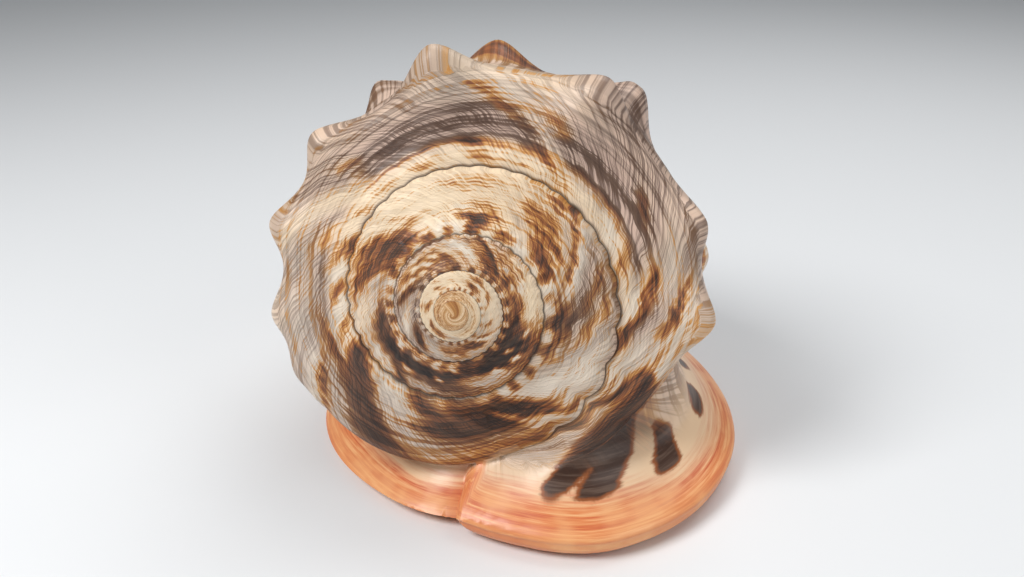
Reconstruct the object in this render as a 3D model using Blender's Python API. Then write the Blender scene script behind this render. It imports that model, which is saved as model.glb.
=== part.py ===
"""Bullmouth helmet shell, a single natural piece, lying on its aperture.

The shell is one closed body. Its outside is worked out as a distance from one point inside it,
the hub, along directions that follow the coiling: columns start round the spire, and each runs
over the side of the last whorl and round its edge to the aperture. The hollow of the last whorl
and the long narrow aperture are cut out of it. Lengths are millimetres until the mesh is made;
Blender's units are metres.

Axis frame: X right, H along the coiling axis from the apex to the front canal, Z away from the
aperture. Lying frame: x right, y back, z up, with the aperture face on z = 0 and the apex over
(0, 0). The finished object has the middle of its foot at the origin, with the apex towards -y.
"""
import math

import bmesh
import bpy
import numpy as np

MM = 0.001

# Coiling
APEX_HEIGHT = 68.5          # apex above the surface that the shell lies on
AXIS_TILT = 12.5            # degrees by which the axis falls from the apex to the front
LENGTH = 166.0              # apex to front canal along the axis
TURNS = 4.5                 # turns that are modelled, counted back from the lip
LIP_ANGLE = -77.0           # degrees round the axis at which the lip meets the spire
SUTURE_RADIUS = 47.0        # suture radius at the lip
SUTURE_DECAY = 0.6515       # exponential shrink of the suture per turn
SUTURE_SLOWING = 0.0135
SPIRE_SLOPE = 0.50          # height of the suture over its radius
CREST_STEP = 0.035          # drop from a whorl's crest to the next suture, over the radius
CREST_INSET = 0.55          # how far the crest stands inside that suture, over the drop
CREST_OPENS = 0.12          # turns over which that drop grows from the lip
RAMP_OPENS = 0.1            # turns over which the ramp and its scallops grow from the lip
SCALLOPS = 34               # scallops of the suture per turn
SCALLOP_DEPTH = 0.012
# Relief across the ramp: (place, width, depth), each over the ramp's width
RAMP_RELIEF = [(0.12, 0.07, 0.032), (0.36, 0.13, -0.028), (0.85, 0.10, 0.030)]

# Last whorl: (turns before the lip, radius of the shoulder without its knobs)
SHOULDER = [(0.0, 47.5), (0.1, 57.0), (0.2, 62.0), (0.3, 63.0), (0.38, 62.3), (0.46, 60.0),
            (0.54, 54.5), (0.62, 52.0), (0.72, 49.5), (0.78, 51.0), (0.85, 52.5), (0.93, 51.0),
            (1.0, 47.0)]
SHOULDER_HEIGHT = 23.5
FRONT_DROOP = 15.0          # how far the front hangs below the coiling axis
DROOP_START = 50.0
SHOULDER_DROP = 2.5         # how much further forward the shoulder lies at the lip
# Side of the last whorl: (share of the way to the front, share of the shoulder radius)
SIDE = [(0.0, 1.0), (0.13, 0.995), (0.27, 0.965), (0.42, 0.90), (0.57, 0.79), (0.71, 0.645),
        (0.83, 0.49), (0.92, 0.36), (0.975, 0.23), (1.0, 0.0)]

# Knobs: (degrees round the axis, height) on the shoulder, then the rows behind it as
# (place along the axis, shift in degrees, share of the height, length)
SHOULDER_KNOBS = [(207, 2.5), (188, 4.5), (161, 6.0), (134, 7.0), (98, 7.5), (57, 7.0), (19, 5.5),
                  (-6, 4.5)]
SHOULDER_ROW = (26.0, 0.0, 1.0, 8.0)
KNOB_ROWS = [SHOULDER_ROW, (52.0, -13.0, 0.75, 9.5), (76.0, -7.0, 0.42, 9.0),
             (97.0, -12.0, 0.28, 8.0)]
KNOB_WIDTH = 10.0           # degrees
KNOB_ROUND = 1.7            # how square the knobs are round the axis, 2 being a plain swell
KNOB_ROUND_ALONG = 1.8
KNOB_FREE = 0.75            # share of the ramp over which the knobs rise to full height

# Lip and shield: the edges of the aperture face, as (x, y) in the lying frame
LIP_EDGE = [(-4, 2), (3, -1), (9, -3.5), (18, -6), (28, -7.5), (39, -6.5), (52, 0), (64, 11),
            (73, 26), (78, 43), (78.5, 62), (75, 80), (67, 100), (56, 118), (43, 134), (29, 147),
            (16, 156), (4, 161), (-8, 158)]
SHIELD_EDGE = [(16, 156), (4, 161), (-8, 157), (-20, 146), (-32, 130), (-42, 110), (-48, 88),
               (-50, 66), (-49, 48), (-44, 33), (-36, 22), (-27, 13), (-17, 7.5), (-6, 5),
               (4, 6), (14, 9)]
LIP_THICKNESS = 11.0
SHIELD_THICKNESS = 7.5
LIP_FLANGE = 20.0           # width of the hollow flange behind the lip's edge
SHIELD_FLANGE = 13.0
FLANGE_RISE = 1.35          # rise of the flange over its width
# Section of the rolled edge, from the face up: (inward, up), over half the thickness
EDGE_ROLL = [(2.6, 0.0), (1.3, 0.0), (0.35, 0.32), (0.0, 1.0), (0.25, 1.6), (0.95, 2.0)]
FLAT_KNOTS = 2              # the first of these lie on the face
# Section of the flange above it: (inward over its width, up over its rise)
FLANGE_ROLL = [(0.5, 0.12), (0.8, 0.40), (1.0, 0.75), (1.2, 1.3)]
FLANGE_FADE = 4.0           # how fast the face gives way to the whorl above the flange
NOTCH_X = 6.5               # the lip's lobe laps over the shield's here
NOTCH_WIDTH = 2.4
CANAL_BEARING = 88.0        # degrees, where lip and shield meet at the front
CANAL_BLEND = 14.0          # degrees over which they meet
FRONT_SLIM = 0.4            # share by which the edge thins towards the front canal
FRONT_SLIM_REACH = 35.0     # degrees
CANAL_LIFT = 12.0           # the front canal is bent up by this
CANAL_LIFT_START = 112.0
CANAL_LIFT_RUN = 75.0
FACE_BLEND = 1.5            # rounding where the whorl meets the face
FLAT_BAND = 0.4             # the face is pressed flat by this where the shell rests

# Aperture: (place, middle, half width, top) along the lying frame's y
SLOT = [(12, 7.5, 0.8, 5.0), (20, 8.5, 4.0, 12.0), (35, 9.5, 5.2, 24.0), (60, 10.0, 6.2, 30.0),
        (95, 9.5, 6.4, 30.0), (125, 6.5, 6.0, 25.0), (150, 3.5, 4.8, 24.0), (180, 2.0, 4.6, 30.0)]
SLOT_FUNNEL = 4.0           # the face rises to the aperture by this
FUNNEL_REACH = 7.0
SLOT_BOTTOM = -6.0          # the cut starts below the face
SLOT_STATIONS = 30

# Hollow of the last whorl: (degrees round the axis, outer radius, size of the section)
HOLLOW = [(-80, 37.0, 1.0), (-45, 49.0, 1.0), (0, 56.5, 1.0), (50, 57.0, 1.0), (95, 54.0, 1.0),
          (140, 46.0, 0.95), (180, 43.0, 0.85), (215, 42.0, 0.6), (240, 36.0, 0.3)]
HOLLOW_MIDDLE = 84.0
HOLLOW_HALF = 54.0
HOLLOW_SECTION = 20         # corners of the hollow's section
HOLLOW_STATIONS = 26
HOLLOW_ROUND = 0.8          # 1 is an oval section, less is squarer
COLUMELLA = 11.0            # radius of the solid core inside the hollow
COLUMELLA_TAPER = 0.35

COLUMNS = 200               # columns per turn
RAMP_ROWS = 7
RISER_ROWS = 2
BARREL_KNOTS = 8            # knots of the whorl's outline on its ramp
JOIN = 0.06                 # reach over which the face takes part near the suture
SIDE_ROWS = 96
FINE_STEPS = 420            # samples by which the rows of the side are spaced
BEND_SHARE = 7.0            # length that one radian of bend counts for
LAST_SHARE = 0.97           # how far the samples go towards straight down
HUB_STEPS = 12
HUB_START = 60.0
LEVEL = 0.05                # directions flatter than this count as this steep
FACES = 9400                # triangles left after thinning
HAIR = 0.06                 # nearer to the surface than this, a corner is put on it

CENTRE_H = 68.0             # place on the axis about which the rows of the side turn
ORIGIN = np.array([12.6, 76.2, 0.0])    # the middle of the shell's foot, from under the apex
HUB = np.array([10.0, 66.0, 36.0])      # point inside from which the outside is measured
TILT = math.radians(AXIS_TILT)


def ease(x):
    """Smooth step from 0 to 1."""
    x = np.clip(x, 0.0, 1.0)
    return x * x * (3.0 - 2.0 * x)


def blend_max(a, b, width):
    """The larger of two values, with a rounded meeting."""
    return 0.5 * (a + b + np.sqrt((a - b) ** 2 + width * width))


def curve(x, knots, values):
    """Smooth curve through the knots, which may differ for every x: knots are rows."""
    x = np.asarray(x, float)
    knots = np.broadcast_to(np.reshape(knots, (len(knots), -1)), (len(knots), x.size))
    values = np.broadcast_to(np.reshape(values, (len(values), -1)), (len(values), x.size))
    flat = np.clip(x.ravel(), knots[0], knots[-1])
    gap = np.diff(knots, axis=0)
    chord = np.diff(values, axis=0) / gap
    middle = (chord[:-1] * gap[1:] + chord[1:] * gap[:-1]) / (gap[1:] + gap[:-1])
    slope = np.concatenate([chord[:1], middle, chord[-1:]])
    i = np.sum(flat >= knots[1:-1], axis=0)[None, :]

    def pick(rows, at):
        return np.take_along_axis(rows, at, 0)[0]

    width = pick(gap, i)
    f = (flat - pick(knots, i)) / width
    out = ((2 * f**3 - 3 * f**2 + 1) * pick(values, i) + (f**3 - 2 * f**2 + f) * width * pick(slope, i)
           + (3 * f**2 - 2 * f**3) * pick(values, i + 1) + (f**3 - f**2) * width * pick(slope, i + 1))
    return out.reshape(x.shape)


def through(x, points, column=1):
    """Smooth curve through a list of hand-set points."""
    return curve(x, [p[0] for p in points], [p[column] for p in points])


def to_lying(p):
    """Axis frame (X, H, Z) to lying frame (x, y, z)."""
    x, h, z = p[..., 0], p[..., 1], p[..., 2]
    return np.stack([x, h * math.cos(TILT) + z * math.sin(TILT),
                     APEX_HEIGHT - h * math.sin(TILT) + z * math.cos(TILT)], -1)


def droop(h):
    """How far the front of the last whorl hangs below the coiling axis."""
    return FRONT_DROOP * ease((h - DROOP_START) / (LENGTH - DROOP_START))


def around(t, r, h):
    """Point of the lying frame at t turns before the lip, radius r, place h."""
    angle = math.radians(LIP_ANGLE) + 2 * math.pi * t
    z = r * np.sin(angle) - droop(h)
    return to_lying(np.stack(np.broadcast_arrays(r * np.cos(angle), h, z), -1))


def suture(t):
    """Radius and height of the suture, t turns before the lip."""
    r = SUTURE_RADIUS * np.exp(-SUTURE_DECAY * t + SUTURE_SLOWING * t * t)
    wave = SCALLOP_DEPTH * np.cos(2 * np.pi * SCALLOPS * t) * ease(t / RAMP_OPENS)
    return r * (1 + wave), SPIRE_SLOPE * r


def spire_start(t):
    """Suture at the inner edge of a spire whorl; the first whorl narrows to a point."""
    r, h = suture(t)
    r_out, h_out = suture(t - 1.0)
    taper = ease(TURNS - t)
    return r_out + (r - r_out) * taper, h_out + (h - h_out) * taper


def ramp_relief(s):
    """Relief of the ramp across its width: a cord by the suture, a groove, a swell at the crest."""
    return sum(depth * np.exp(-((s - place) / width) ** 2) for place, width, depth in RAMP_RELIEF)


def spire_point(t, s, rise):
    """Point of the spire: s runs across the ramp, rise down the step behind its crest."""
    r0, h0 = spire_start(t)
    r_out, h_out = suture(t - 1.0)
    step = CREST_STEP * r_out * ease(TURNS - t) * ease((t - 1.0) / CREST_OPENS)
    r1 = r_out - CREST_INSET * step
    h1 = h_out - step
    width = math.hypot(r1 - r0, h1 - h0)
    r = r0 + (r1 - r0) * s + (r_out - r1) * rise
    h = h0 + (h1 - h0) * s + (h_out - h1) * rise * rise - ramp_relief(s) * width
    return around(t, r, h)


def shoulder(t):
    return through(t, SHOULDER), SHOULDER_HEIGHT + SHOULDER_DROP * (1.0 - t)


def knobs(angle, h):
    """Height of the knobs on the side of the last whorl."""
    total = np.zeros(np.shape(h))
    for place, height in SHOULDER_KNOBS:
        for row_h, shift, share, length in KNOB_ROWS:
            off = (angle - place - shift + 180.0) % 360.0 - 180.0
            across = np.exp(-np.abs(off / KNOB_WIDTH) ** KNOB_ROUND)
            along = np.exp(-np.abs((h - row_h) / length) ** KNOB_ROUND_ALONG)
            total += share * height * across * along
    return total


def barrel(t, theta):
    """Distance from the axis point at CENTRE_H to the last whorl, at angles theta from the apex."""
    r0, h0 = suture(t)
    rc, hc = shoulder(t)
    share = np.arange(BARREL_KNOTS)[:, None] / BARREL_KNOTS
    width = np.hypot(rc - r0, hc - h0)
    u = np.array([p[0] for p in SIDE])[:, None]
    factor = np.array([p[1] for p in SIDE])[:, None]
    r = np.concatenate([r0 + (rc - r0) * share, rc * factor])
    h = np.concatenate([h0 + (hc - h0) * share - ramp_relief(share) * width,
                        hc + (LENGTH - hc) * u])
    rho = curve(theta, np.arctan2(r, CENTRE_H - h), np.hypot(r, CENTRE_H - h))
    place = CENTRE_H - rho * np.cos(theta)
    fade = ease((rho * np.sin(theta) - r0) / (KNOB_FREE * (rc - r0)))
    return rho + knobs(LIP_ANGLE + 360.0 * t, place) * fade


def body(d):
    """Distance from the hub to the last whorl along d, found by stepping."""
    rho = np.full(len(d), HUB_START)
    for _ in range(HUB_STEPS):
        p = HUB + d * rho[:, None]
        up = p[:, 2] - APEX_HEIGHT
        x = p[:, 0]
        h = p[:, 1] * math.cos(TILT) - up * math.sin(TILT) - CENTRE_H
        z = p[:, 1] * math.sin(TILT) + up * math.cos(TILT) + droop(h + CENTRE_H)
        turn = (np.degrees(np.arctan2(z, x)) - LIP_ANGLE) / 360.0 % 1.0
        theta = np.arctan2(np.hypot(x, z), -h)
        away = np.sqrt(x * x + h * h + z * z)
        rho = rho * barrel(turn, theta) / away
    return rho


def edge_reach(phi, edge):
    """Distance of an edge of the face from the foot of the hub, by bearing, and where it is."""
    x = np.array([p[0] for p in edge], float) - HUB[0]
    y = np.array([p[1] for p in edge], float) - HUB[1]
    bearing = np.degrees(np.unwrap(np.arctan2(y, x)))
    turned = phi + 360.0 * np.ceil((bearing[0] - phi) / 360.0)
    there = turned <= bearing[-1]
    return curve(turned, bearing, np.hypot(x, y)), there


def face(d):
    """Distance from the hub to the aperture face, its rolled edge and flange, along d."""
    phi = np.degrees(np.arctan2(d[:, 1], d[:, 0]))
    psi = np.arctan2(np.hypot(d[:, 0], d[:, 1]), -d[:, 2])
    lip, lip_there = edge_reach(phi, LIP_EDGE)
    shield, shield_there = edge_reach(phi, SHIELD_EDGE)
    x_here = HUB[0] + lip * np.cos(np.radians(phi))
    to_lip = np.where(phi < 0.0, ease((x_here - NOTCH_X) / NOTCH_WIDTH + 0.5),
                      ease((CANAL_BEARING - phi) / CANAL_BLEND + 0.5))
    to_lip = np.where(lip_there, np.where(shield_there, to_lip, 1.0), 0.0)
    reach = shield + (lip - shield) * to_lip
    slim = 1.0 - FRONT_SLIM * np.exp(-((phi - 90.0) / FRONT_SLIM_REACH) ** 2)
    half = (SHIELD_THICKNESS + (LIP_THICKNESS - SHIELD_THICKNESS) * to_lip) * slim / 2.0
    flange = SHIELD_FLANGE + (LIP_FLANGE - SHIELD_FLANGE) * to_lip
    rise = FLANGE_RISE * flange

    down = np.maximum(np.cos(psi), LEVEL)
    on_face = HUB[:2] + (HUB[2] / down)[:, None] * d[:, :2]
    off = np.abs(on_face[:, 0] - through(on_face[:, 1], SLOT)) - through(on_face[:, 1], SLOT, 2)
    funnel = SLOT_FUNNEL * np.exp(-(np.maximum(off, 0.0) / FUNNEL_REACH) ** 2)
    sole = (HUB[2] - funnel + FLAT_BAND) / down

    w = np.stack([reach - inward * half for inward, _ in EDGE_ROLL]
                 + [reach - inward * flange for inward, _ in FLANGE_ROLL])
    z = np.stack([up * half for _, up in EDGE_ROLL]
                 + [2.0 * half + up * rise for _, up in FLANGE_ROLL])
    z[:FLAT_KNOTS] -= FLAT_BAND
    turn = np.arctan2(w, HUB[2] - z)
    rolled = curve(psi, turn, np.hypot(w, HUB[2] - z))
    rolled = rolled * np.exp(-FLANGE_FADE * np.maximum(psi - turn[-1], 0.0))
    return np.where(psi <= turn[0], sole, rolled)


def unit(v):
    return v / np.linalg.norm(v, axis=-1, keepdims=True)


def flatten(d):
    """Directions to a plane in which straight down is at infinity."""
    return d[..., :2] / (1.0 + d[..., 2:])


def unflatten(q):
    """Points of that plane to directions."""
    square = np.sum(q * q, axis=-1, keepdims=True)
    return np.concatenate([2.0 * q, 1.0 - square], -1) / (1.0 + square)


APEX_POLE = flatten(unit(to_lying(np.array([0.0, 10.0, 0.0])) - HUB))


def outer_points(d, free):
    """Points of the outside along d; free grows from 0 at the suture, where the lip joins it."""
    whorl = body(d)
    joined = blend_max(whorl, face(d), FACE_BLEND)
    return HUB + d * (whorl + (joined - whorl) * free)[:, None]


def lower_column(t, open_up):
    """One column of the last whorl: the ramp, then over the side and round to the aperture.

    The rows of the side lie closer together where the surface bends.
    """
    r0, h0 = suture(t)
    rc, hc = shoulder(t)
    start = math.atan2(r0, CENTRE_H - h0)
    crest = start + (math.atan2(rc, CENTRE_H - hc) - start) * open_up
    theta = start + (crest - start) * np.arange(RAMP_ROWS + 1) / RAMP_ROWS
    rho = barrel(np.full(theta.shape, t), theta)
    ramp = unit(around(t, rho * np.sin(theta), CENTRE_H - rho * np.cos(theta)) - HUB)
    from_apex = flatten(ramp[-1]) - APEX_POLE
    reach = np.linalg.norm(from_apex)
    free = np.concatenate([ease((theta - start) / JOIN), [1.0]])

    def side(share):
        run = reach + share / (1.0 - share)
        d = unflatten(APEX_POLE + from_apex / reach * run[:, None])
        return outer_points(d, ease((run - reach) / JOIN + free[-2]))

    fine = np.linspace(0.0, LAST_SHARE, FINE_STEPS)
    steps = np.diff(side(fine), axis=0)
    length = np.linalg.norm(steps, axis=1)
    along = steps / length[:, None]
    bend = np.arccos(np.clip(np.sum(along[1:] * along[:-1], axis=1), -1.0, 1.0))
    length[1:] += BEND_SHARE * bend
    travelled = np.concatenate([[0.0], np.cumsum(length)])
    even = travelled[-1] * np.arange(1, SIDE_ROWS) / SIDE_ROWS
    below = side(np.interp(even, travelled, fine))
    return np.concatenate([outer_points(ramp, free[:-1]), below])


def outside():
    """Points and faces of the closed outside."""
    last = round(TURNS * COLUMNS)
    points = []
    index = {}

    def corner(key, point):
        if key not in index:
            index[key] = len(points)
            points.append(point)
        return index[key]

    def suture_corner(i):
        t = i / COLUMNS
        r, h = suture(t) if i < COLUMNS else spire_start(t)
        return corner(("suture", i), around(t, r, h))

    faces = []
    rows = RAMP_ROWS + RISER_ROWS
    strip = {}
    for i in range(COLUMNS, last + 1):
        for j in range(rows + 1):
            if j == rows or i == last or (i == COLUMNS and j >= RAMP_ROWS):
                strip[i, j] = suture_corner(i - COLUMNS)
            elif j == 0:
                strip[i, j] = suture_corner(i)
            else:
                s = min(j / RAMP_ROWS, 1.0)
                rise = max(j - RAMP_ROWS, 0) / RISER_ROWS
                strip[i, j] = corner(("spire", i, j), spire_point(i / COLUMNS, s, rise))
    for i in range(COLUMNS, last):
        for j in range(rows):
            faces.append((strip[i, j], strip[i, j + 1], strip[i + 1, j + 1], strip[i + 1, j]))

    rows = RAMP_ROWS + SIDE_ROWS
    foot = corner("foot", outer_points(np.array([[0.0, 0.0, -1.0]]), np.ones(1))[0])
    lower = {}
    for i in range(COLUMNS):
        column = lower_column(i / COLUMNS, float(ease(i / COLUMNS / RAMP_OPENS)))
        for k in range(rows):
            if k == 0 or (i == 0 and k <= RAMP_ROWS):
                lower[i, k] = suture_corner(i)
            else:
                lower[i, k] = corner(("lower", i, k), column[k])
        lower[i, rows] = foot
    for k in range(rows + 1):
        lower[COLUMNS, k] = strip[COLUMNS, k] if k <= RAMP_ROWS else lower[0, k]
    for i in range(COLUMNS):
        for k in range(rows):
            faces.append((lower[i, k], lower[i, k + 1], lower[i + 1, k + 1], lower[i + 1, k]))

    tip = corner("tip", to_lying(np.zeros(3)))
    for i in range(last - COLUMNS, last):
        faces.append((strip[i, 0], strip[i + 1, 0], tip))

    points = np.array(points)
    lift = CANAL_LIFT * ease((points[:, 1] - CANAL_LIFT_START) / CANAL_LIFT_RUN)
    points[:, 2] = np.maximum(points[:, 2], 0.0) + lift
    return points, faces


def make_object(name, points, faces):
    """Mesh object in metres, with doubled corners of collapsed rows left out."""
    mesh = bpy.data.meshes.new(name)
    shaped = []
    for corners in faces:
        kept = [c for n, c in enumerate(corners) if c != corners[n - 1]]
        if len(set(kept)) >= 3:
            shaped.append(kept)
    mesh.from_pydata([tuple(p) for p in (points - ORIGIN) * MM], [], shaped)
    bm = bmesh.new()
    bm.from_mesh(mesh)
    bmesh.ops.triangulate(bm, faces=[f for f in bm.faces if len(f.verts) > 3])
    bmesh.ops.recalc_face_normals(bm, faces=bm.faces)
    bm.to_mesh(mesh)
    bm.free()
    obj = bpy.data.objects.new(name, mesh)
    bpy.context.collection.objects.link(obj)
    return obj


def tube(rings):
    """Closed tube through rings of the same number of points."""
    count = len(rings[0])
    points = np.concatenate(rings)
    faces = []
    for a in range(len(rings) - 1):
        for b in range(count):
            c = (b + 1) % count
            faces.append((a * count + b, a * count + c, (a + 1) * count + c, (a + 1) * count + b))
    faces.append(tuple(range(count)))
    faces.append(tuple(range((len(rings) - 1) * count, len(rings) * count)))
    return points, faces


def slot_cutter():
    """The aperture: a long narrow cut through the face, open at the front canal."""
    rings = []
    for y in np.linspace(SLOT[0][0], SLOT[-1][0], SLOT_STATIONS):
        middle, half, top = (float(through(y, SLOT, c)) for c in (1, 2, 3))
        rings.append(np.array([(middle - half, y, SLOT_BOTTOM), (middle + half, y, SLOT_BOTTOM),
                               (middle + half, y, top), (middle - half, y, top)]))
    return tube(rings)


def hollow_cutter():
    """The hollow that the last whorl winds round the core, narrowing to its end."""
    rings = []
    beta = 2 * math.pi * np.arange(HOLLOW_SECTION) / HOLLOW_SECTION
    along = np.sign(np.cos(beta)) * np.abs(np.cos(beta)) ** HOLLOW_ROUND
    out = np.sign(np.sin(beta)) * np.abs(np.sin(beta)) ** HOLLOW_ROUND
    for angle in np.linspace(HOLLOW[0][0], HOLLOW[-1][0], HOLLOW_STATIONS):
        outer, size = (float(through(angle, HOLLOW, c)) for c in (1, 2))
        h = HOLLOW_MIDDLE + HOLLOW_HALF * size * along
        u = (h - SHOULDER_HEIGHT) / (LENGTH - SHOULDER_HEIGHT)
        r_out = outer * through(u, SIDE)
        r_in = COLUMELLA * (1.0 - COLUMELLA_TAPER * u)
        r = (r_out + r_in) / 2 + (r_out - r_in) / 2 * size * out
        rings.append(around((angle - LIP_ANGLE) / 360.0, r, h))
    return tube(rings)


def cut(obj, name, shape):
    """Take a closed shape out of an object."""
    cutter = make_object(name, *shape)
    cutter.hide_render = True
    cutter.display_type = 'WIRE'
    modifier = obj.modifiers.new(name, 'BOOLEAN')
    modifier.operation = 'DIFFERENCE'
    modifier.solver = 'EXACT'
    modifier.object = cutter


def settle(obj):
    """Apply the modifiers and press what lies within a hair of the surface flat onto it."""
    bpy.context.view_layer.update()
    evaluated = obj.evaluated_get(bpy.context.evaluated_depsgraph_get())
    mesh = bpy.data.meshes.new_from_object(evaluated)
    obj.modifiers.clear()
    obj.data = mesh
    for vertex in mesh.vertices:
        if abs(vertex.co.z) < HAIR * MM:
            vertex.co.z = 0.0
    mesh.update()


def shell_material():
    """Glazed shell: cream and brown, low gloss."""
    material = bpy.data.materials.new("shell")
    material.use_nodes = True
    surface = material.node_tree.nodes["Principled BSDF"]
    surface.inputs["Base Color"].default_value = (0.62, 0.46, 0.34, 1.0)
    surface.inputs["Roughness"].default_value = 0.35
    surface.inputs["Metallic"].default_value = 0.0
    return material


def build():
    for obj in list(bpy.data.objects):
        bpy.data.objects.remove(obj)
    shell = make_object("helmet_shell", *outside())
    cut(shell, "hollow_cutter", hollow_cutter())
    cut(shell, "slot_cutter", slot_cutter())
    thin = shell.modifiers.new("thin", 'DECIMATE')
    evaluated = shell.evaluated_get(bpy.context.evaluated_depsgraph_get())
    triangles = sum(len(p.vertices) - 2 for p in evaluated.data.polygons)
    thin.ratio = FACES / triangles
    settle(shell)
    shell.data.materials.append(shell_material())
    shell.data.shade_smooth()


build()
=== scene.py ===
# %% [markdown]
# # A bullmouth helmet shell
#
# A helmet shell grows by adding material along the edge of its mouth, so every mark and ridge on
# it follows one of two directions: round the spiral, or along an old edge. This lesson builds the
# whole surface from those two directions, keeps them on the mesh as a growth map, and paints with
# them. The imported model is loaded first, and it is hidden at the end when the new shell is in place.

# %% Load the frame
import math

import bmesh
import bpy
import numpy as np
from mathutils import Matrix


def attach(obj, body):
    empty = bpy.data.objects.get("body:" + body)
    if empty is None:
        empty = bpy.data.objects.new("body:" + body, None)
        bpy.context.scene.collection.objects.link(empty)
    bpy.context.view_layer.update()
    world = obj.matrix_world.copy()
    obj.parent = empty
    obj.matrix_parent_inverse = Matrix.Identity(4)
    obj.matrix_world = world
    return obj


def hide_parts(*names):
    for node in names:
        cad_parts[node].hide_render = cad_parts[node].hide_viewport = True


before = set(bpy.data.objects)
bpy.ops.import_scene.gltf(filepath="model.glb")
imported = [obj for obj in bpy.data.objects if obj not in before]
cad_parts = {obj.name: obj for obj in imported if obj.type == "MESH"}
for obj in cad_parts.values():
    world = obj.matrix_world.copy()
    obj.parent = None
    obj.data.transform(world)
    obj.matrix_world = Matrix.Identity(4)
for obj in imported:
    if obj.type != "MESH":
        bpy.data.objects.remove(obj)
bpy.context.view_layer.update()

# %% [markdown]
# ## Camera
#
# The shell is seen from in front of its spire and a little above. A focal length of about one
# image width gives the near rim its slight swelling. The camera is set from its place and two
# angles, because a fitted view is easier to correct that way than by aiming at a target.

# %% Camera
MM = 0.001
FOCAL_PIXELS = 1000.0
IMAGE_WIDTH = 1024.0
SENSOR = 36.0
CAMERA_PLACE = (23.09, -292.90, 180.51)
LOOK_DOWN = 25.5
LOOK_LEFT = 5.5

camera = bpy.data.objects.new("camera", bpy.data.cameras.new("camera"))
bpy.context.collection.objects.link(camera)
camera.data.sensor_width = SENSOR
camera.data.lens = SENSOR * FOCAL_PIXELS / IMAGE_WIDTH
camera.location = [v * MM for v in CAMERA_PLACE]
camera.rotation_euler = (math.radians(90.0 - LOOK_DOWN), 0.0, math.radians(LOOK_LEFT))
bpy.context.scene.camera = camera
print("lens", round(camera.data.lens, 2), "mm")

# %% [markdown]
# ## Curves through given points
#
# Shapes that grew have no straight runs, so each outline here is a few given points joined by a
# smooth curve. Blender's own curve objects could do this, but a plain function can be asked for
# thousands of values at once.

# %% Smooth curves and steps
def ease(x):
    """Smooth step from 0 to 1."""
    x = np.clip(x, 0.0, 1.0)
    return x * x * (3.0 - 2.0 * x)


def bump(x, middle, width, power=2.0):
    """Rounded swelling of height 1."""
    return np.exp(-np.abs((x - middle) / width) ** power)


def blend_max(a, b, width):
    """The larger of two values, with a rounded meeting."""
    return 0.5 * (a + b + np.sqrt((a - b) ** 2 + width * width))


def curve(x, knots, values):
    """Smooth curve through the knots, which may differ for every x: knots are rows."""
    x = np.asarray(x, float)
    knots = np.broadcast_to(np.reshape(knots, (len(knots), -1)), (len(knots), x.size))
    values = np.broadcast_to(np.reshape(values, (len(values), -1)), (len(values), x.size))
    flat = np.clip(x.ravel(), knots[0], knots[-1])
    gap = np.diff(knots, axis=0)
    chord = np.diff(values, axis=0) / gap
    middle = (chord[:-1] * gap[1:] + chord[1:] * gap[:-1]) / (gap[1:] + gap[:-1])
    slope = np.concatenate([chord[:1], middle, chord[-1:]])
    i = np.sum(flat >= knots[1:-1], axis=0)[None, :]

    def pick(rows, at):
        return np.take_along_axis(rows, at, 0)[0]

    width = pick(gap, i)
    f = (flat - pick(knots, i)) / width
    out = ((2 * f**3 - 3 * f**2 + 1) * pick(values, i) + (f**3 - 2 * f**2 + f) * width * pick(slope, i)
           + (3 * f**2 - 2 * f**3) * pick(values, i + 1) + (f**3 - f**2) * width * pick(slope, i + 1))
    return out.reshape(x.shape)


def through(x, points, column=1):
    """Smooth curve through a list of given points."""
    return curve(x, [p[0] for p in points], [p[column] for p in points])


def unit(v):
    """Directions of length 1."""
    return v / np.linalg.norm(v, axis=-1, keepdims=True)


# %% [markdown]
# ## The coil
#
# The whorls wind round an axis that falls gently from the apex to the front of the shell. The line
# where one whorl meets the next, the suture, is a spiral that shrinks by the same share each turn.
# Time runs backwards along it: t is the number of turns before the lip. All lengths are in
# millimetres, with the shell lying on its mouth and the apex over (0, 0).

# %% Axis and suture
APEX_HEIGHT = 68.5
TILT = math.radians(12.5)
LENGTH = 166.0
LIP_ANGLE = -77.0
TURNS = 5.6
SUTURE_RADIUS = 47.0
SUTURE_DECAY = 0.6515
SUTURE_SLOWING = 0.0135
SPIRE_SLOPE = 0.50
FRONT_DROOP = 15.0
DROOP_START = 50.0
RAMP_OPENS = 0.1
SCALLOPS = 40.0             # small scallops of the suture per turn
WIDE_SCALLOPS = 19.0        # and near the lip, where they are wide
WIDE_RANGE = 0.4
SCALLOP_DEPTH = 0.011
WIDE_DEPTH = 0.024


def to_lying(p):
    """Axis frame (x, h, z) to lying frame (x, y, z)."""
    x, h, z = p[..., 0], p[..., 1], p[..., 2]
    return np.stack([x, h * math.cos(TILT) + z * math.sin(TILT),
                     APEX_HEIGHT - h * math.sin(TILT) + z * math.cos(TILT)], -1)


def droop(h):
    """How far the front of the last whorl hangs below the coiling axis."""
    return FRONT_DROOP * ease((h - DROOP_START) / (LENGTH - DROOP_START))


def around(t, r, h):
    """Point of the lying frame at t turns before the lip, radius r, place h."""
    angle = math.radians(LIP_ANGLE) + 2 * math.pi * t
    z = r * np.sin(angle) - droop(h)
    return to_lying(np.stack(np.broadcast_arrays(r * np.cos(angle), h, z), -1))


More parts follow.
